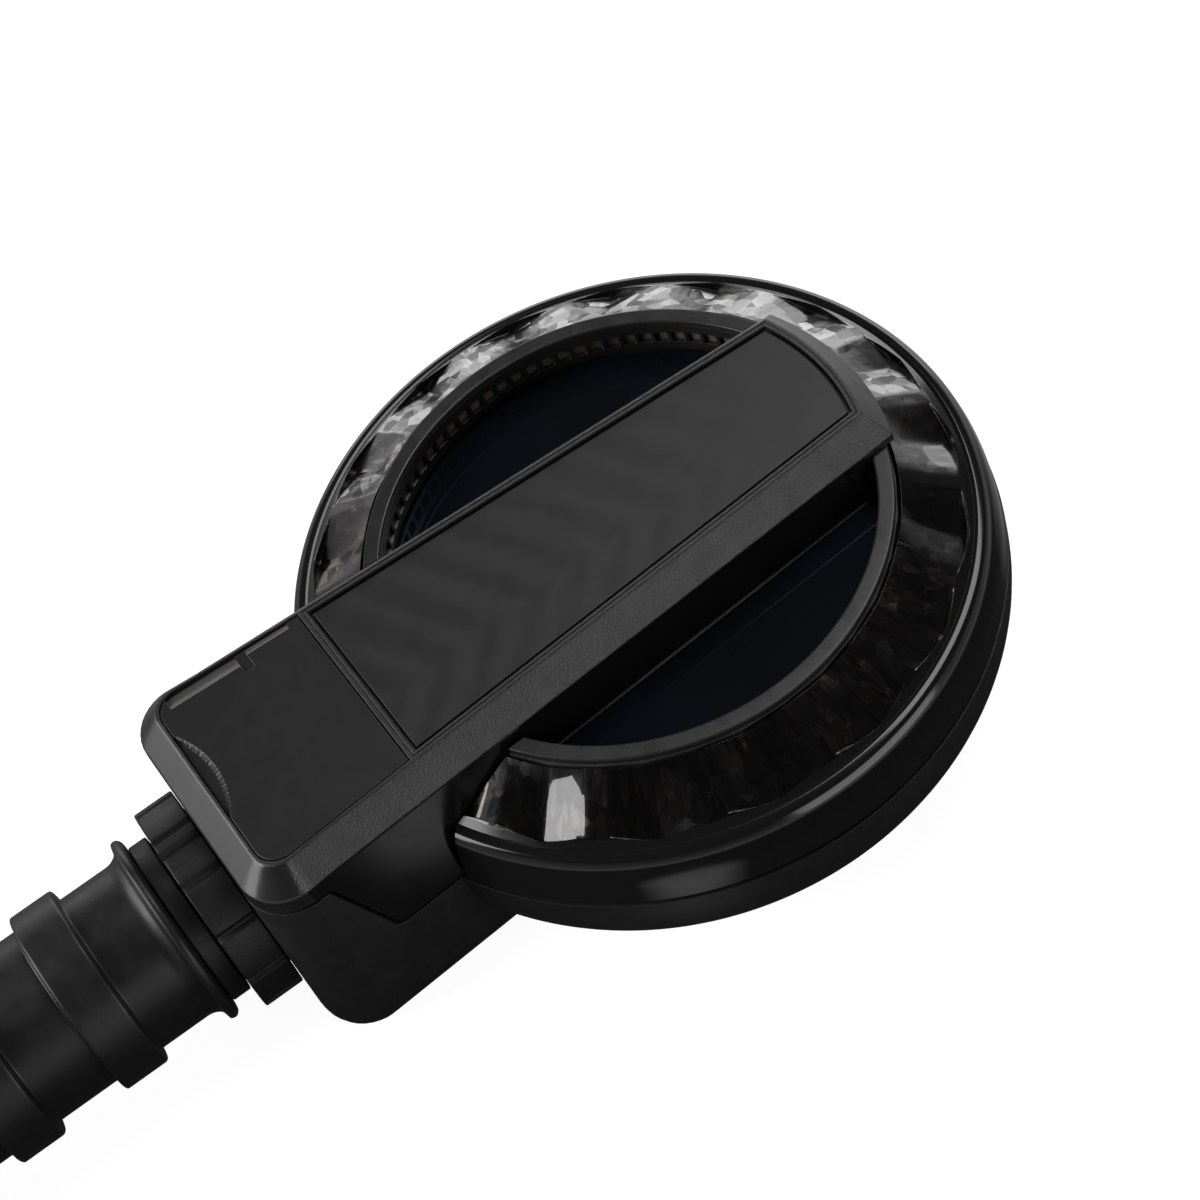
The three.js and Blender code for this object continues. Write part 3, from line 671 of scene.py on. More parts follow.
def bar_outline(dx, dy, end_r=None):
    """The bar's plan, grown by dx at its sides and dy at the neck. Its free end is an arc about the head."""
    end_r = BAR_END_R + dx if end_r is None else end_r
    a = BAR_HALF + dx
    square = 1 + BAR_TAPER ** 2
    ab = a * BAR_TAPER
    y = (ab + math.sqrt(ab ** 2 - square * (a ** 2 - end_r ** 2))) / square
    angle = math.atan2(y, half_width(y) + dx)
    right = [(half_width(v) + dx, v) for v in np.linspace(NECK_END_Y + 8, y - 2, 24)]
    end = arc(0, 0, end_r, angle, math.pi - angle, 32)
    left = [(-x, v) for x, v in reversed(right)]
    return neck_end(dx, dy) + right + end + left


def neck_outline(dx, dy, head_y=-25.0):
    """The neck's plan, from its end to head_y inside the head."""
    x = half_width(head_y) + dx
    return neck_end(dx, dy) + [(x, head_y), (-x, head_y)]


def flare_at(z):
    """How far the bar's sides stand out past its top at a height below the chamfer."""
    return CHAMFER_WIDTH + SIDE_FLARE * (CHAMFER_Z - z)


def cover_side(name, shift):
    """Everything on the cover's side of the seam, which steps up from the ring to the neck end."""
    return side_prism(name, soften([
        (NECKWARD, NECK_SEAM_Z + shift), (FLAP_START_Y + shift, NECK_SEAM_Z + shift),
        (FLAP_END_Y + shift, SEAM_Z + shift), (FAR, SEAM_Z + shift), (FAR, FAR), (NECKWARD, FAR),
    ], [0, 0.8, 1.6, 0, 0, 0], 6, closed=True), FAR)


def neck_slot():
    """The room that the neck takes out of the rings."""
    grow = GAP + flare_at(SEAM_Z)
    slot = loft("slot", [
        (SLOT_LOW, neck_outline(grow, SLOT_REACH)), (SEAM_Z, neck_outline(grow, SLOT_REACH)),
        (WINDOW_Z, neck_outline(flare_at(WINDOW_Z) + GAP, SLOT_REACH)),
        (SLOT_TOP, neck_outline(CHAMFER_WIDTH + GAP, SLOT_REACH)),
    ])
    ledge = post("ledge", 0, 0, 0, WINDOW_Z - 2.05, WINDOW_R + GAP, HEAD_SEGMENTS)
    return cut(slot, ledge)


# ---------- head shells ----------
def bowl(name, inset):
    """The round pan, or its hollow, inset from the outside by a wall."""
    centre_r = PAN_R - PAN_FILLET
    side = arc(centre_r, PAN_FILLET, PAN_FILLET - inset, -math.pi / 2, 0, 20)
    return revolve(name, [(0, inset), *side, (PAN_R - inset, SHELL_TOP), (0, SHELL_TOP)], closed=False)


def neck_solid(name, inset):
    """The neck's trough, or its hollow, with rounded lower edges."""
    fillet = NECK_FILLET - inset
    reach = NECK_END_REACH - inset
    levels = []
    for i in range(FILLET_STEPS, -1, -1):
        angle = math.pi / 2 * i / FILLET_STEPS
        pull = fillet * (1 - math.cos(angle)) + inset
        outline = neck_outline(NECK_FLOOR_REACH - pull, NECK_END_REACH - pull)
        levels.append((inset + fillet * (1 - math.sin(angle)), outline))
    levels.append((SEAM_Z, neck_outline(flare_at(SEAM_Z) - inset, reach)))
    levels.append((NECK_SEAM_Z + 1, neck_outline(flare_at(NECK_SEAM_Z) - inset, reach)))
    return loft(name, levels)


SCREWS = 6
SCREW_CIRCLE_R = 34.0
SCREW_PLACES = [on_circle(0, 0, SCREW_CIRCLE_R, a + math.pi / SCREWS) for a in circle(SCREWS)]
BOSS_R = 4.0
SCREW_HOLE_R = 1.8
HEAD_HOLE_R = 3.3
HEAD_HOLE_TOP = 3.0
DRAIN_Y = 22.0
DRAIN_HOLE_R = 4.0
OUTLET_R = 13.2
OUTLET_SHOULDER_R = 15.4
OUTLET_SHOULDER_Y = -70.1
OUTLET_INNER_Y = -66.0


def back_pan():
    """The lower shell, with screw bosses, the drain's hole and the outlet's bore."""
    shell = join(bowl("pan_shell", 0), neck_solid("trough", 0))
    inside = join(bowl("hollow", WALL), neck_solid("trough_hollow", WALL))
    cut(shell, inside)
    for x, y in SCREW_PLACES:
        join(shell, post("boss", x, y, 1, WINDOW_Z - 4, BOSS_R))
        cut(shell, post("hole", x, y, UNDER, WINDOW_Z, SCREW_HOLE_R))
        cut(shell, post("head_room", x, y, UNDER, HEAD_HOLE_TOP, HEAD_HOLE_R))
    bore = revolve("bore", [
        (0, -80), (OUTLET_R, -80), (OUTLET_R, OUTLET_SHOULDER_Y), (OUTLET_SHOULDER_R, OUTLET_SHOULDER_Y),
        (OUTLET_SHOULDER_R, OUTLET_INNER_Y), (0, OUTLET_INNER_Y),
    ], TUBE_SEGMENTS, tube=True, closed=False)
    drain = post("drain", 0, DRAIN_Y, UNDER, 5, DRAIN_HOLE_R)
    cut(shell, drain, bore, cover_side("above", -SEAM_GAP))
    settle(shell, MATT, "head", "back_pan")


def bridge_shell():
    """The bar and neck top, filled, from a profile of its height, dx, dy and free end's radius."""
    end = BAR_END_R + CHAMFER_WIDTH
    profile = soften([
        (SEAM_Z, flare_at(SEAM_Z), NECK_END_REACH, end),
        (NECK_SEAM_Z, flare_at(NECK_SEAM_Z), NECK_END_REACH, end),
        (CHAMFER_Z, CHAMFER_WIDTH, CHAMFER_REACH, end),
        (TOP_Z, 0, 0, BAR_END_R), (TOP_Z, -1, -1, BAR_END_R - 1),
    ], [0, 0, 0.45, 0.4, 0])
    return loft("bridge_shell", [(z, bar_outline(dx, dy, r)) for z, dx, dy, r in profile])


def bridge_hollow():
    """The room inside the bar and neck top."""
    end = WINDOW_R - WALL
    reach = NECK_END_REACH - WALL
    return loft("bridge_hollow", [
        (SEAM_Z - 1, bar_outline(flare_at(SEAM_Z) - WALL, reach, end)),
        (NECK_SEAM_Z, bar_outline(flare_at(NECK_SEAM_Z) - WALL, reach, end)),
        (CHAMFER_Z - 0.6, bar_outline(CHAMFER_WIDTH - WALL, CHAMFER_REACH - WALL, end)),
        (TOP_Z - WALL, bar_outline(-1, -1, end - 1)),
    ])


def ring_room():
    """The rings' room under the bar's free end."""
    inner_r, top = WINDOW_R - 0.1, BEZEL_Z + 0.2
    ring = revolve("ring", [(inner_r, 0), (FAR, 0), (FAR, top), (inner_r, top)])
    return combine(ring, box_piece("half", (-FAR, 0, -1), (FAR, FAR, 50)), "INTERSECT")


def is_bar_side(centre, normal):
    """Whether a face is on one of the bar's upright sides."""
    return abs(normal.z) < 0.4 and centre.z < CHAMFER_Z + 0.1 and centre.y > GLOSS_START_Y


def bridge_cover():
    """The upper shell of bar and neck, with glossier sides."""
    outside = bridge_shell()
    inside = bridge_hollow()
    room = post("room", 0, 0, 0, WINDOW_Z + 0.1, WINDOW_R + GAP, HEAD_SEGMENTS)
    free_end = ring_room()
    panel = slab("panel_recess", panel_outline(1.05), TOP_Z - PANEL_DEPTH, TOP_Z + 1)
    service = slab("service_recess", service_outline(0.4), TOP_Z - PANEL_DEPTH, TOP_Z + 1)
    below = cut(box_piece("below", (-FAR, NECKWARD, 0), (FAR, FAR, FAR)), cover_side("upper", 0))
    join(outside, window_lip())
    cut(outside, inside, room, free_end, panel, lip_line(), service, below)
    settle(outside, [BRIDGE, SIDE_GLOSS], "head", "bridge_cover")
    mark(outside, is_bar_side)


def window_lip():
    """A thin bead where the bar's sides meet the window."""
    low = WINDOW_Z + 0.1
    reach = flare_at(WINDOW_Z) + 0.22
    wide = bar_outline(reach, 0, WINDOW_R - WALL)
    narrow = bar_outline(reach - 0.2, 0, WINDOW_R - WALL)
    bead = loft("lip", [(low, wide), (low + 0.18, wide), (low + 0.34, narrow)])
    inside_ring = post("inside_ring", 0, 0, 0, SHELL_TOP, WINDOW_R - 0.6, HEAD_SEGMENTS)
    return combine(bead, inside_ring, "INTERSECT")


def lip_line():
    """A fine line pressed into the raised edge round the panel."""
    outer = slab("line_outer", panel_outline(0.42), TOP_Z - 0.16, TOP_Z + 1)
    inner = slab("line_inner", panel_outline(0.62), TOP_Z - 1, TOP_Z + 2)
    return cut(outer, inner)


def panel_outline(inset):
    """The panel's plan: the bar's outline past the service cover."""
    outline = bar_outline(-inset, -inset)[len(neck_end(0, 0)):]
    outline = [p for p in outline if p[1] > PANEL_TOP_Y]
    x = half_width(PANEL_TOP_Y) - inset
    base = PANEL_TOP_Y + inset - 1.2
    return [(-x, base), (x, base), *outline]


def service_outline(inset):
    """The service cover's plan, from the neck's end to the panel."""
    x = half_width(SERVICE_TOP_Y) - inset
    top = SERVICE_TOP_Y - inset + 0.4
    return [*neck_end(-inset, -inset), (x, top), (-x, top)]


def inset_panel():
    plate = slab("chevron_panel", panel_outline(1.6), TOP_Z - PANEL_DEPTH + 0.05, TOP_Z - 0.25, 0.15)
    settle(plate, CHEVRON, "head", "inset_panel")


NAIL_HALF = 8.3
NAIL_DEPTH = 2.3
NAIL_X = -2.0
NAIL_POINTS = 900
WAVES_ROUND = 140
FINE_WAVES_ROUND = 233
PLATE_EDGE_Y = NECK_END_Y + 0.6


def nail_outline(grow, waves):
    """A circle that cuts the crescent off the plate's end, with its edge waved by this much."""
    r = (NAIL_HALF ** 2 + NAIL_DEPTH ** 2) / (2 * NAIL_DEPTH)
    y = PLATE_EDGE_Y + NAIL_DEPTH - r
    outline = []
    for a in circle(NAIL_POINTS):
        wave = waves * (math.sin(WAVES_ROUND * a) + 0.8 * math.sin(FINE_WAVES_ROUND * a + 1))
        outline.append(on_circle(NAIL_X, y, r + grow + wave, a))
    return outline


def nail_recess():
    """A shallow crescent to lift the plate by. Its sloping edge is worn and wavy."""
    return loft("nail", [
        (TOP_Z - 0.6, nail_outline(-0.5, 0.10)), (TOP_Z - 0.3, nail_outline(-0.2, 0.02)),
        (TOP_Z, nail_outline(0.1, 0.06)), (TOP_Z + 1, nail_outline(0.4, 0.05)),
    ])


def edge_bevel(start, end, width, depth):
    """A slope along a stretch of the plate's left edge."""
    top = TOP_Z - 0.05
    low = top - depth * (width + 1) / width
    verts = []
    for y in (start, end):
        x = 0.6 - half_width(y)
        verts += [(x + width, y, top), (x - 1, y, low), (x - 1, y, TOP_Z + 1), (x + width, y, TOP_Z + 1)]
    faces = ring_faces(2, 4, False) + [(0, 1, 2, 3), (4, 5, 6, 7)]
    return piece_from("bevel", verts, faces)


STRIP_LOW_Y = -65.5
NOTCH_LOW_Y = -54.4
NOTCH_HIGH_Y = -52.8
STRIP_HIGH_Y = -46.0


def service_cover():
    """The flat plate, with its worn recess and two sloped strips at a notch in its left edge. The strips
    catch real light on their slope and are also painted pale as a highlight.
    """
    plate = slab("service_plate", service_outline(0.6), TOP_Z - PANEL_DEPTH + 0.05, TOP_Z - 0.05, 0.12)
    notch = box_piece("notch", (-17, NOTCH_LOW_Y, TOP_Z - 0.4), (-12.2, NOTCH_HIGH_Y, TOP_Z + 1))
    broad_strip = edge_bevel(STRIP_LOW_Y, NOTCH_LOW_Y, 2.2, 0.72)
    narrow_strip = edge_bevel(NOTCH_HIGH_Y, STRIP_HIGH_Y, 1.1, 0.4)
    cut(plate, nail_recess(), broad_strip, narrow_strip, notch)
    settle(plate, [PLATE, PAINTED_EDGE_HIGHLIGHT], "head", "service_cover", sharp=15)
    # The sloped strips' faces take the pale material, a painted highlight.
    mark(plate, lambda centre, normal: normal.x < -0.25 and 0.8 < normal.z < 0.97)


# ---------- ring, bezel and window ----------
def slope_z(r):
    """Height of the ring's cone between the bezel and the rim."""
    drop = BEZEL_Z - 1.1 - RIM_Z
    run = RIM_R - 1.6 - SCOOP_INNER_R
    return BEZEL_Z - 0.9 - (r - SCOOP_INNER_R) * drop / run


def scoop_share(theta):
    """1 on a scoop's centre crease, falling straight to 0 at its sides, with a soft crease and soft sides."""
    turns = theta / SCOOP_PITCH - 0.5
    across = 2 * np.abs(turns - np.round(turns)) / SCOOP_WIDTH
    fall = np.maximum(0, 1.02 - np.sqrt(across ** 2 + 0.05 ** 2))
    return np.where(across < 1, fall, 0) + 0.02 * np.exp(-((across - 1) / 0.06) ** 2)


PER_SCOOP = 40
SCOOP_ROWS = 18
SCOOP_END_ROWS = 7
SLOT_CORNER_X = 24.6
SLOT_INNER_X = 20.0
SLOT_CORNER_Y = -47.4
SLOT_INNER_Y = -42.8


def ring_cover():
    """The smoked ring with its scoops, open at the neck."""
    segments = SCOOPS * PER_SCOOP
    theta = np.arange(segments) * 2 * math.pi / segments
    share = scoop_share(theta)
    end_r = SCOOP_OUTER_R + SCOOP_BULGE * share
    profile = [(SCOOP_INNER_R, slope_z(SCOOP_INNER_R) - 1.2)]
    for t in np.linspace(0, 1, SCOOP_ROWS):
        r = SCOOP_INNER_R + 0.15 + t * (end_r - SCOOP_INNER_R - 0.15)
        depth = SCOOP_DEPTH * (1 - 0.75 * (1 - t) ** 2.6)
        profile.append((r, slope_z(r) - depth * share))
    for k in range(SCOOP_END_ROWS):
        t = (k + 1) / SCOOP_END_ROWS
        r = end_r + SCOOP_END_WIDTH * t * (0.3 + 0.7 * share)
        profile.append((r, slope_z(r) - SCOOP_DEPTH * share * (1 - t * t * (3 - 2 * t))))
    profile += soften([
        (RIM_R - 1.5, RIM_Z + 0.1), (RIM_R - 1.0, RIM_Z + 0.25), (RIM_R, RIM_Z), (RIM_R + 1, RIM_Z - 1.2),
        (SKIRT_R - 0.3, RIM_Z - 4), (SKIRT_R, SEAM_Z + 0.2), (SKIRT_R - 1.8, SEAM_Z + 0.2),
    ], [0, 0.25, 0.5, 0.6, 1.5, 0.15, 0])
    profile += [
        (RIM_R - 0.4, RIM_Z - 3.2), (SCOOP_OUTER_R, slope_z(SCOOP_OUTER_R) - 3.3),
        (SCOOP_INNER_R, slope_z(SCOOP_INNER_R) - 2.4),
    ]
    rows = [loop(theta, r, z) for r, z in profile]
    ring = piece_from("scooped_ring", np.concatenate(rows), ring_faces(len(rows), segments, True))
    cut(ring, neck_slot())
    for side in (-1, 1):
        outer, inner = side * SLOT_CORNER_X, side * SLOT_INNER_X
        corner = [(outer, SLOT_CORNER_Y), (inner, SLOT_INNER_Y), (inner, SLOT_CORNER_Y)]
        cut(ring, slab("end_bevel", corner, SLOT_LOW, SLOT_TOP))
    settle(ring, SMOKED, "head", "ring_cover", sharp=25)


def bezel_ring():
    ring = revolve("bezel_band", soften([
        (WINDOW_R + 0.1, BEZEL_Z - 1), (WINDOW_R + 2.5, BEZEL_Z - 1), (WINDOW_R + 2.4, BEZEL_Z),
        (WINDOW_R + 0.1, BEZEL_Z),
    ], [0.1, 0.1, 0.2, 0.3], closed=True))
    cut(ring, neck_slot())
    settle(ring, BEZEL, "head", "bezel_ring")


SQUARES = 90
POCKET_LOW = WINDOW_Z + 1.85
POCKET_HIGH = WINDOW_Z + 3.75
POCKET_SLOPE = 0.15


def is_pocket_floor(centre, normal):
    """Whether a face is a pocket's floor, which faces the head's axis."""
    deep = math.hypot(centre.x, centre.y) > WINDOW_R + 0.6
    facing = centre.x * normal.x + centre.y * normal.y < 0
    return deep and facing and normal.z ** 2 < 0.1 and POCKET_LOW < centre.z < POCKET_HIGH


def inlet_grille():
    """The recess's wall, with a row of small square pockets whose floors catch the light."""
    low, high = WINDOW_Z + 0.3, BEZEL_Z - 1.1
    wall_r, pocket_r, outer_r = WINDOW_R + 0.2, WINDOW_R + 0.75, WINDOW_R + 1.1
    heights = [low, POCKET_LOW - POCKET_SLOPE, POCKET_LOW, POCKET_HIGH, POCKET_HIGH + POCKET_SLOPE, high]
    steps = [0.0, 0.12, 0.19, 0.81, 0.88]
    theta = np.array([(i + s) * 2 * math.pi / SQUARES for i in range(SQUARES) for s in steps])
    inside = np.tile([0, 0, 1, 1, 0], SQUARES)
    rows = []
    for k, z in enumerate(heights):
        deep = inside if k in (2, 3) else 0 * inside
        r = np.where(deep == 1, pocket_r, wall_r)
        rows.append(loop(theta, r, z))
    rows += [loop(theta, outer_r, high), loop(theta, outer_r, low)]
    wall = piece_from("inlet_squares", np.concatenate(rows), ring_faces(len(rows), len(theta), True))
    cut(wall, neck_slot())
    settle(wall, [INLET, INLET_LIT], "head", "inlet_grille", sharp=20)
    mark(wall, is_pocket_floor)


def centre_window():
    disc = revolve("window_disc", [
        (0, WINDOW_Z - 2), (WINDOW_R, WINDOW_Z - 2), (WINDOW_R, WINDOW_Z - 0.25),
        (WINDOW_R - 0.1, WINDOW_Z - 0.07), (WINDOW_R - 0.3, WINDOW_Z), (0, WINDOW_Z),
    ], closed=False)
    settle(disc, NAVY, "head", "centre_window")


SCREW_HEAD_R = 3.0
SCREW_HEAD_TOP = 2.8
SHANK_R = 1.45
DRIVE_R = 1.25
DRIVE_TOP = 1.7


def fastener(i, place):
    """One of the screws in the pan's back, with a rounded head and a hexagonal drive."""
    x, y = place
    name = "screw_%d" % (i + 1)
    profile = [
        (0, 0.4), (1.9, 0.4), *arc(1.9, 1.3, 1.1, -math.pi / 2, 0, 6)[1:],
        (SCREW_HEAD_R, SCREW_HEAD_TOP), (SHANK_R, SCREW_HEAD_TOP),
        (SHANK_R, WINDOW_Z - 4.2), (1.0, WINDOW_Z - 3.1), (0, WINDOW_Z - 3.1),
    ]
    screw = revolve(name, profile, 48, closed=False)
    cut(screw, post("drive", 0, 0, -1, DRIVE_TOP, DRIVE_R, 6))
    screw.data.transform(Matrix.Translation((x * MM, y * MM, 0)))
    settle(screw, STEEL, "head", "cover_screw_%d" % (i + 1))


def drain_plug():
    plug = revolve("drain_cap", soften([
        (0, 0.8), (2.2, 0.8), (2.5, 0.3), (3.7, 0.3), (3.7, 2.2), (5, 2.4), (5, 3.6), (0, 3.6),
    ], [0, 0.2, 0.2, 0.3, 0.1, 0.2, 0.3, 0]), SMALL_SEGMENTS, closed=False)
    plug.data.transform(Matrix.Translation((0, DRAIN_Y * MM, 0)))
    settle(plug, RUBBER, "head", "drain_plug")


# ---------- neck outlet and tube ----------
def turned(name, profile, reach, steps=4):
    """Turns a closed profile, its corners rounded, about the tube's axis."""
    return revolve(name, soften(profile, reach, steps, closed=True), TUBE_SEGMENTS, tube=True)


def groove(r, floor_r, low, high):
    """Four points of a square groove in a profile, whose floor is at floor_r between two heights."""
    return [(r, low), (floor_r, low), (floor_r, high), (r, high)]


def neck_ferrule():
    bore = edge("tube_nozzle", 1, X) + GAP
    sleeve = turned("ferrule_sleeve", [
        (bore, -76.4), (12.9, -76.4), (12.9, -69.5), (15, -69.5), (15, -67.7),
        (12.6, -67.7), (12.6, -69.1), (bore, -69.1),
    ], 0.15, 2)
    settle(sleeve, MATT, "head", "neck_ferrule")


COLLAR_GROOVE = math.radians(9)
COLLAR_MARK = math.radians(85.5)
COLLAR_PRESSED_R = 14.5


def pressed(off, flank, half, depth):
    """The depth of a groove at a distance off its middle. Its half width is counted in flank widths."""
    return np.clip(half - off / flank, 0, 1) * depth


def collar_warp(turn, radius, height):
    """Presses grooves between the collar's pads, and one broad one."""
    pitch = 2 * math.pi / COLLAR_PADS
    near = (turn - COLLAR_GROOVE) / pitch
    off_groove = np.abs(near - np.round(near)) * pitch * COLLAR_R
    off_mark = np.abs(turn - COLLAR_MARK) * COLLAR_R
    narrow = pressed(off_groove, flank=0.55, half=1.35, depth=0.6)
    broad = pressed(off_mark, flank=0.7, half=2.6, depth=1.2)
    sunk = np.where(radius > COLLAR_PRESSED_R, np.maximum(narrow, broad), 0)
    return radius - sunk, height


def lock_collar():
    face = edge("lock_collar", 0, Y)
    ring = revolve("collar_pads", soften([
        (13.2, -76.7), (11.1, -76.7), (11.1, face), (COLLAR_R - 0.1, face), (COLLAR_R, face + 0.2),
        (COLLAR_R, COLLAR_BACK_Y), (14.9, COLLAR_BACK_Y), (13.2, COLLAR_BACK_Y),
    ], [0.1, 0.1, 0.1, 0.3, 0.3, 0.3, 0, 0.1], 3, closed=True), 720, collar_warp, tube=True)
    settle(ring, COLLAR_BLACK, "collar", "lock_collar")


NOZZLE_BORE_R = 8.2
SEAL_GROOVE_R = 9.5
CLIP_GROOVE_R = 9.6


def nozzle():
    """The tube's nozzle, with grooves for two seals and the retaining clip."""
    r = edge("tube_nozzle", 1, X)
    sleeve = turned("nozzle_sleeve", [
        (NOZZLE_BORE_R, -92), (r - 0.1, -92), (r - 0.1, -78), (r, -77),
        *groove(r, SEAL_GROOVE_R, -76, -74.6), *groove(r, SEAL_GROOVE_R, -72.6, -71.2),
        *groove(r, CLIP_GROOVE_R, -69, -68.1), (r - 0.4, -67.8), (NOZZLE_BORE_R, -67.8),
    ], 0.08, 2)
    settle(sleeve, MATT, "tube", "tube_nozzle")


def o_ring(name, node, ring_r, cord_r):
    """A seal on the tube's axis, at the middle of its CAD node."""
    y = (edge(node, 0, Y) + edge(node, 1, Y)) / 2
    profile = [on_circle(ring_r, y, cord_r, a) for a in circle(16)]
    ring = revolve(name, profile, TUBE_SEGMENTS, tube=True)
    settle(ring, RUBBER, "tube", node)


def spacer_washer():
    low, high = edge("spacer_washer", 0, Y), edge("lock_collar", 0, Y) - 0.35
    disc = turned("washer_disc", [(10.9, low), (12.9, low), (12.9, high), (10.9, high)], 0.25)
    settle(disc, COLLAR_BLACK, "tube", "spacer_washer")


STRIP_TURN = math.radians(-20)
STRIP_HALF = math.radians(9)
STRIP_SIDE = 0.02
STRIP_HEIGHT = 0.12


def strip_warp(turn, radius, height):
    """A low moulding strip that runs along the tube's outside."""
    away = np.abs((turn - STRIP_TURN + math.pi) % (2 * math.pi) - math.pi)
    raised = np.clip((STRIP_HALF - away) / STRIP_SIDE, 0, 1) * STRIP_HEIGHT
    outside = (radius > TUBE_R - 0.3) & (radius < FLANGE_R - 0.3)
    return radius + np.where(outside, raised, 0), height


def convoluted_tube():
    """The tube with its flange and raised bands. Each point of its profile has its own rounding."""
    outside = [(FLANGE_R - 0.7, TUBE_TOP_Y, 0.3), (FLANGE_R, TUBE_TOP_Y - 0.6, 0.4),
               (FLANGE_R - 0.1, TUBE_TOP_Y - 1.5, 0.4), (TUBE_R + 0.7, TUBE_TOP_Y - 1.9, 0.4),
               (TUBE_R, TUBE_TOP_Y - 3.1, 0.9)]
    for i in range(BANDS):
        y = FIRST_BAND_Y - BAND_PITCH * i
        outside += [(TUBE_R, y, 0.3), (BAND_R, y - 0.25, 0.45),
                    (BAND_R, y - BAND_WIDTH + 0.25, 0.45), (TUBE_R, y - BAND_WIDTH, 0.3)]
    outside += [(TUBE_R, TUBE_END_Y, 0.2), (TUBE_BORE_R, TUBE_END_Y, 0.1), (TUBE_BORE_R, TUBE_TOP_Y, 0.2)]
    profile = soften([p[:2] for p in outside], [p[2] for p in outside], 4, closed=True)
    tube = revolve("tube_wall", profile, 320, strip_warp, tube=True)
    settle(tube, TUBE_PLASTIC, "tube", "convoluted_tube")


PLUG_R = 11.6
PLUG_BORE_R = 8.4
PLUG_GROOVE_R = 10.4
PLUG_FLANGE_R = 14.6
LUG_X = 12


def mask_coupling():
    """The plug at the tube's lower end, with a seal's groove and two lugs."""
    end = edge("mask_coupling", 0, Y)
    r = edge("tube_nozzle", 1, X) - 0.1
    body = turned("plug", [
        (PLUG_BORE_R, -190), (r, -190), (r, -200.2), (PLUG_FLANGE_R - 0.2, -200.2), (PLUG_FLANGE_R, -200.8),
        (PLUG_FLANGE_R, -202.8), (PLUG_R, -202.8), *groove(PLUG_R, PLUG_GROOVE_R, -207.2, -208.8),
        (PLUG_R, -213.4), (11, end), (PLUG_BORE_R, end),
    ], 0.2, 3)
    for x in (-LUG_X, LUG_X):
        outline = [(x - 1, -206), (x + 1, -206), (x + 1, -204), (x - 1, -204)]
        join(body, slab("lug", outline, TUBE_Z - 3, TUBE_Z + 3, 0.3))
    settle(body, GLOSS, "tube", "mask_coupling")


# ---------- build ----------
paint_cad_nodes()
back_pan()
bridge_cover()
inset_panel()
service_cover()
ring_cover()
bezel_ring()
inlet_grille()
centre_window()
for i, place in enumerate(SCREW_PLACES):
    fastener(i, place)
drain_plug()
neck_ferrule()
lock_collar()
nozzle()
for i in (1, 2):
    o_ring("nozzle_seal_%d" % i, "nozzle_o_ring_%d" % i, ring_r=10.15, cord_r=0.5)
spacer_washer()
convoluted_tube()
mask_coupling()
o_ring("plug_seal", "coupling_o_ring", ring_r=11.1, cord_r=0.6)


# ---------- stage ----------
CAMERA_AZIMUTH = math.radians(74.76)
CAMERA_ELEVATION = math.radians(54.253)
CAMERA_ROLL = math.radians(-22.627)
CAMERA_DISTANCE = 0.4
CAMERA_TARGET = Vector((0.00198, -0.00796, 0.02662))
CAMERA_LENS = 85.46
LIT_POINT = Vector((0, 0, 0.02))


def direction(azimuth, elevation):
    flat = math.cos(elevation)
    return Vector((math.sin(azimuth) * flat, -math.cos(azimuth) * flat, math.sin(elevation)))


def make_camera():
    """The camera at the photograph's viewing angle, rolled about its own axis."""
    data = bpy.data.cameras.new("camera")
    data.lens = CAMERA_LENS
    data.sensor_width = 36.0
    camera = new_object("camera", data)
    back = direction(CAMERA_AZIMUTH, CAMERA_ELEVATION)
    right = Vector((math.cos(CAMERA_AZIMUTH), math.sin(CAMERA_AZIMUTH), 0))
    upward = back.cross(right)
    x_axis = math.cos(CAMERA_ROLL) * right + math.sin(CAMERA_ROLL) * upward
    y_axis = -math.sin(CAMERA_ROLL) * right + math.cos(CAMERA_ROLL) * upward
    place = Matrix((x_axis, y_axis, back)).transposed().to_4x4()
    place.translation = CAMERA_TARGET + back * CAMERA_DISTANCE
    camera.matrix_world = place
    bpy.context.scene.camera = camera


def area_light(name, azimuth, elevation, distance, width, height, power):
    """A softbox that faces the head from a direction in degrees. Cameras don't see it."""
    data = bpy.data.lights.new(name, "AREA")
    data.shape = "RECTANGLE"
    data.size = width
    data.size_y = height
    data.energy = power
    lamp = new_object(name, data)
    towards = direction(math.radians(azimuth), math.radians(elevation))
    lamp.location = LIT_POINT + towards * distance
    lamp.rotation_mode = "QUATERNION"
    lamp.rotation_quaternion = (-towards).to_track_quat("-Z", "Y")
    lamp.visible_camera = False


BACKDROP_GLOW = 0.9
FLOOR_GLOW = 0.93
FLOOR_HALF = 6000
FLOOR_TOP = -0.4
WHITE = (1.0, 1.0, 1.0)


def distance_from(tree, x, y):
    """Distance over the floor from a point given in metres."""
    dx = calculate("SUBTRACT", axis_value(tree, "X"), x)
    dy = calculate("SUBTRACT", axis_value(tree, "Y"), y)
    return flat_distance(dx, dy)


def mirrored_glow(tree):
    """What gloss sees of the floor: dark close by, lit far off and behind the head, and one pale patch."""
    far = remap(distance_from(tree, 0.0, -0.03), 0, BACKDROP_GLOW, 0.16, 0.42)
    behind = ramp(tree, "X", BACKDROP_GLOW, 0, -60, 30)
    behind = times(behind, ramp(tree, "Y", 0.12, 1, -60, 30))
    patch = remap(distance_from(tree, 0.066, -0.037), 0.6, 0, 0.008, 0.015)
    return calculate("MAXIMUM", calculate("MAXIMUM", far, behind), patch)


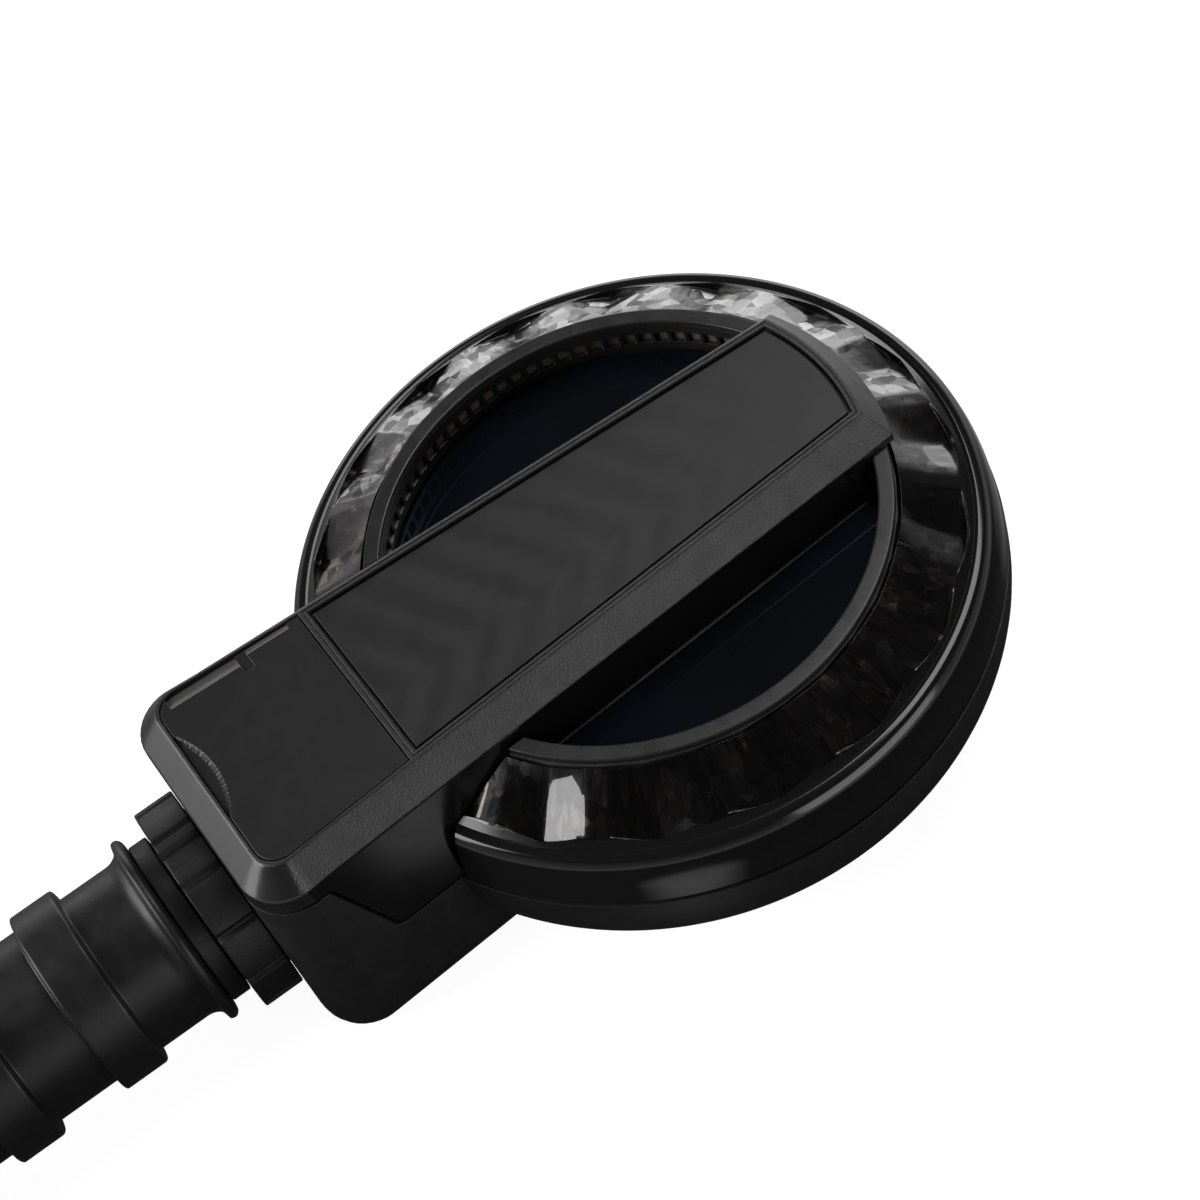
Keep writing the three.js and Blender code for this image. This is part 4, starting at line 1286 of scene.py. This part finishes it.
def make_floor():
    """A pale floor. The camera sees it evenly lit, and the object's gloss sees the glow above."""
    floor = box_piece("floor", (-FLOOR_HALF, -FLOOR_HALF, -12), (FLOOR_HALF, FLOOR_HALF, FLOOR_TOP))
    material, tree, shader = new_material("floor_white")
    path = add_node(tree, "LightPath")
    seen = path.outputs["Is Camera Ray"]
    feed(shader, {
        "Roughness": 0.9,
        "Specular IOR Level": 0.0,
        "Base Color": mix_colors(seen, (0.05, 0.05, 0.05), (0.3, 0.3, 0.3)),
        "Emission Color": WHITE,
    })
    mirrored = times(mirrored_glow(tree), path.outputs["Is Glossy Ray"])
    glow = calculate("ADD", times(seen, FLOOR_GLOW), mirrored)
    feed(shader, {"Emission Strength": glow})
    floor.data.materials.append(material)


def make_world():
    """White to the camera, and dim elsewhere, with a paler band near the horizon in the object's gloss."""
    world = bpy.data.worlds.new("studio")
    bpy.context.scene.world = world
    world.use_nodes = True
    tree = world.node_tree
    path = add_node(tree, "LightPath")
    upward = axis_of(add_node(tree, "TexCoord").outputs["Generated"], "Z")
    horizon = remap(upward, 1, 0, 0.16, 0.40)
    mirrored = mix_colors(horizon, (0.035, 0.035, 0.036), (0.46, 0.46, 0.47))
    hidden = mix_colors(path.outputs["Is Glossy Ray"], (0.12, 0.12, 0.123), mirrored)
    shown = mix_colors(path.outputs["Is Camera Ray"], hidden, WHITE)
    feed(tree.nodes["Background"], {"Color": shown, "Strength": 1.0})


make_floor()
make_world()
make_camera()
area_light("key_card", azimuth=342, elevation=30, distance=0.7, width=0.5, height=0.38, power=4.4)
area_light("far_card", azimuth=243, elevation=8, distance=0.9, width=1.25, height=0.3, power=2.8)
area_light("overhead", azimuth=205, elevation=62, distance=1.1, width=0.6, height=0.5, power=4.8)
area_light("side_fill", azimuth=110, elevation=18, distance=1.0, width=0.8, height=0.4, power=3)
area_light("low_card", azimuth=335, elevation=9, distance=0.75, width=0.6, height=0.2, power=0.9)
bpy.context.scene.view_settings.view_transform = "Standard"
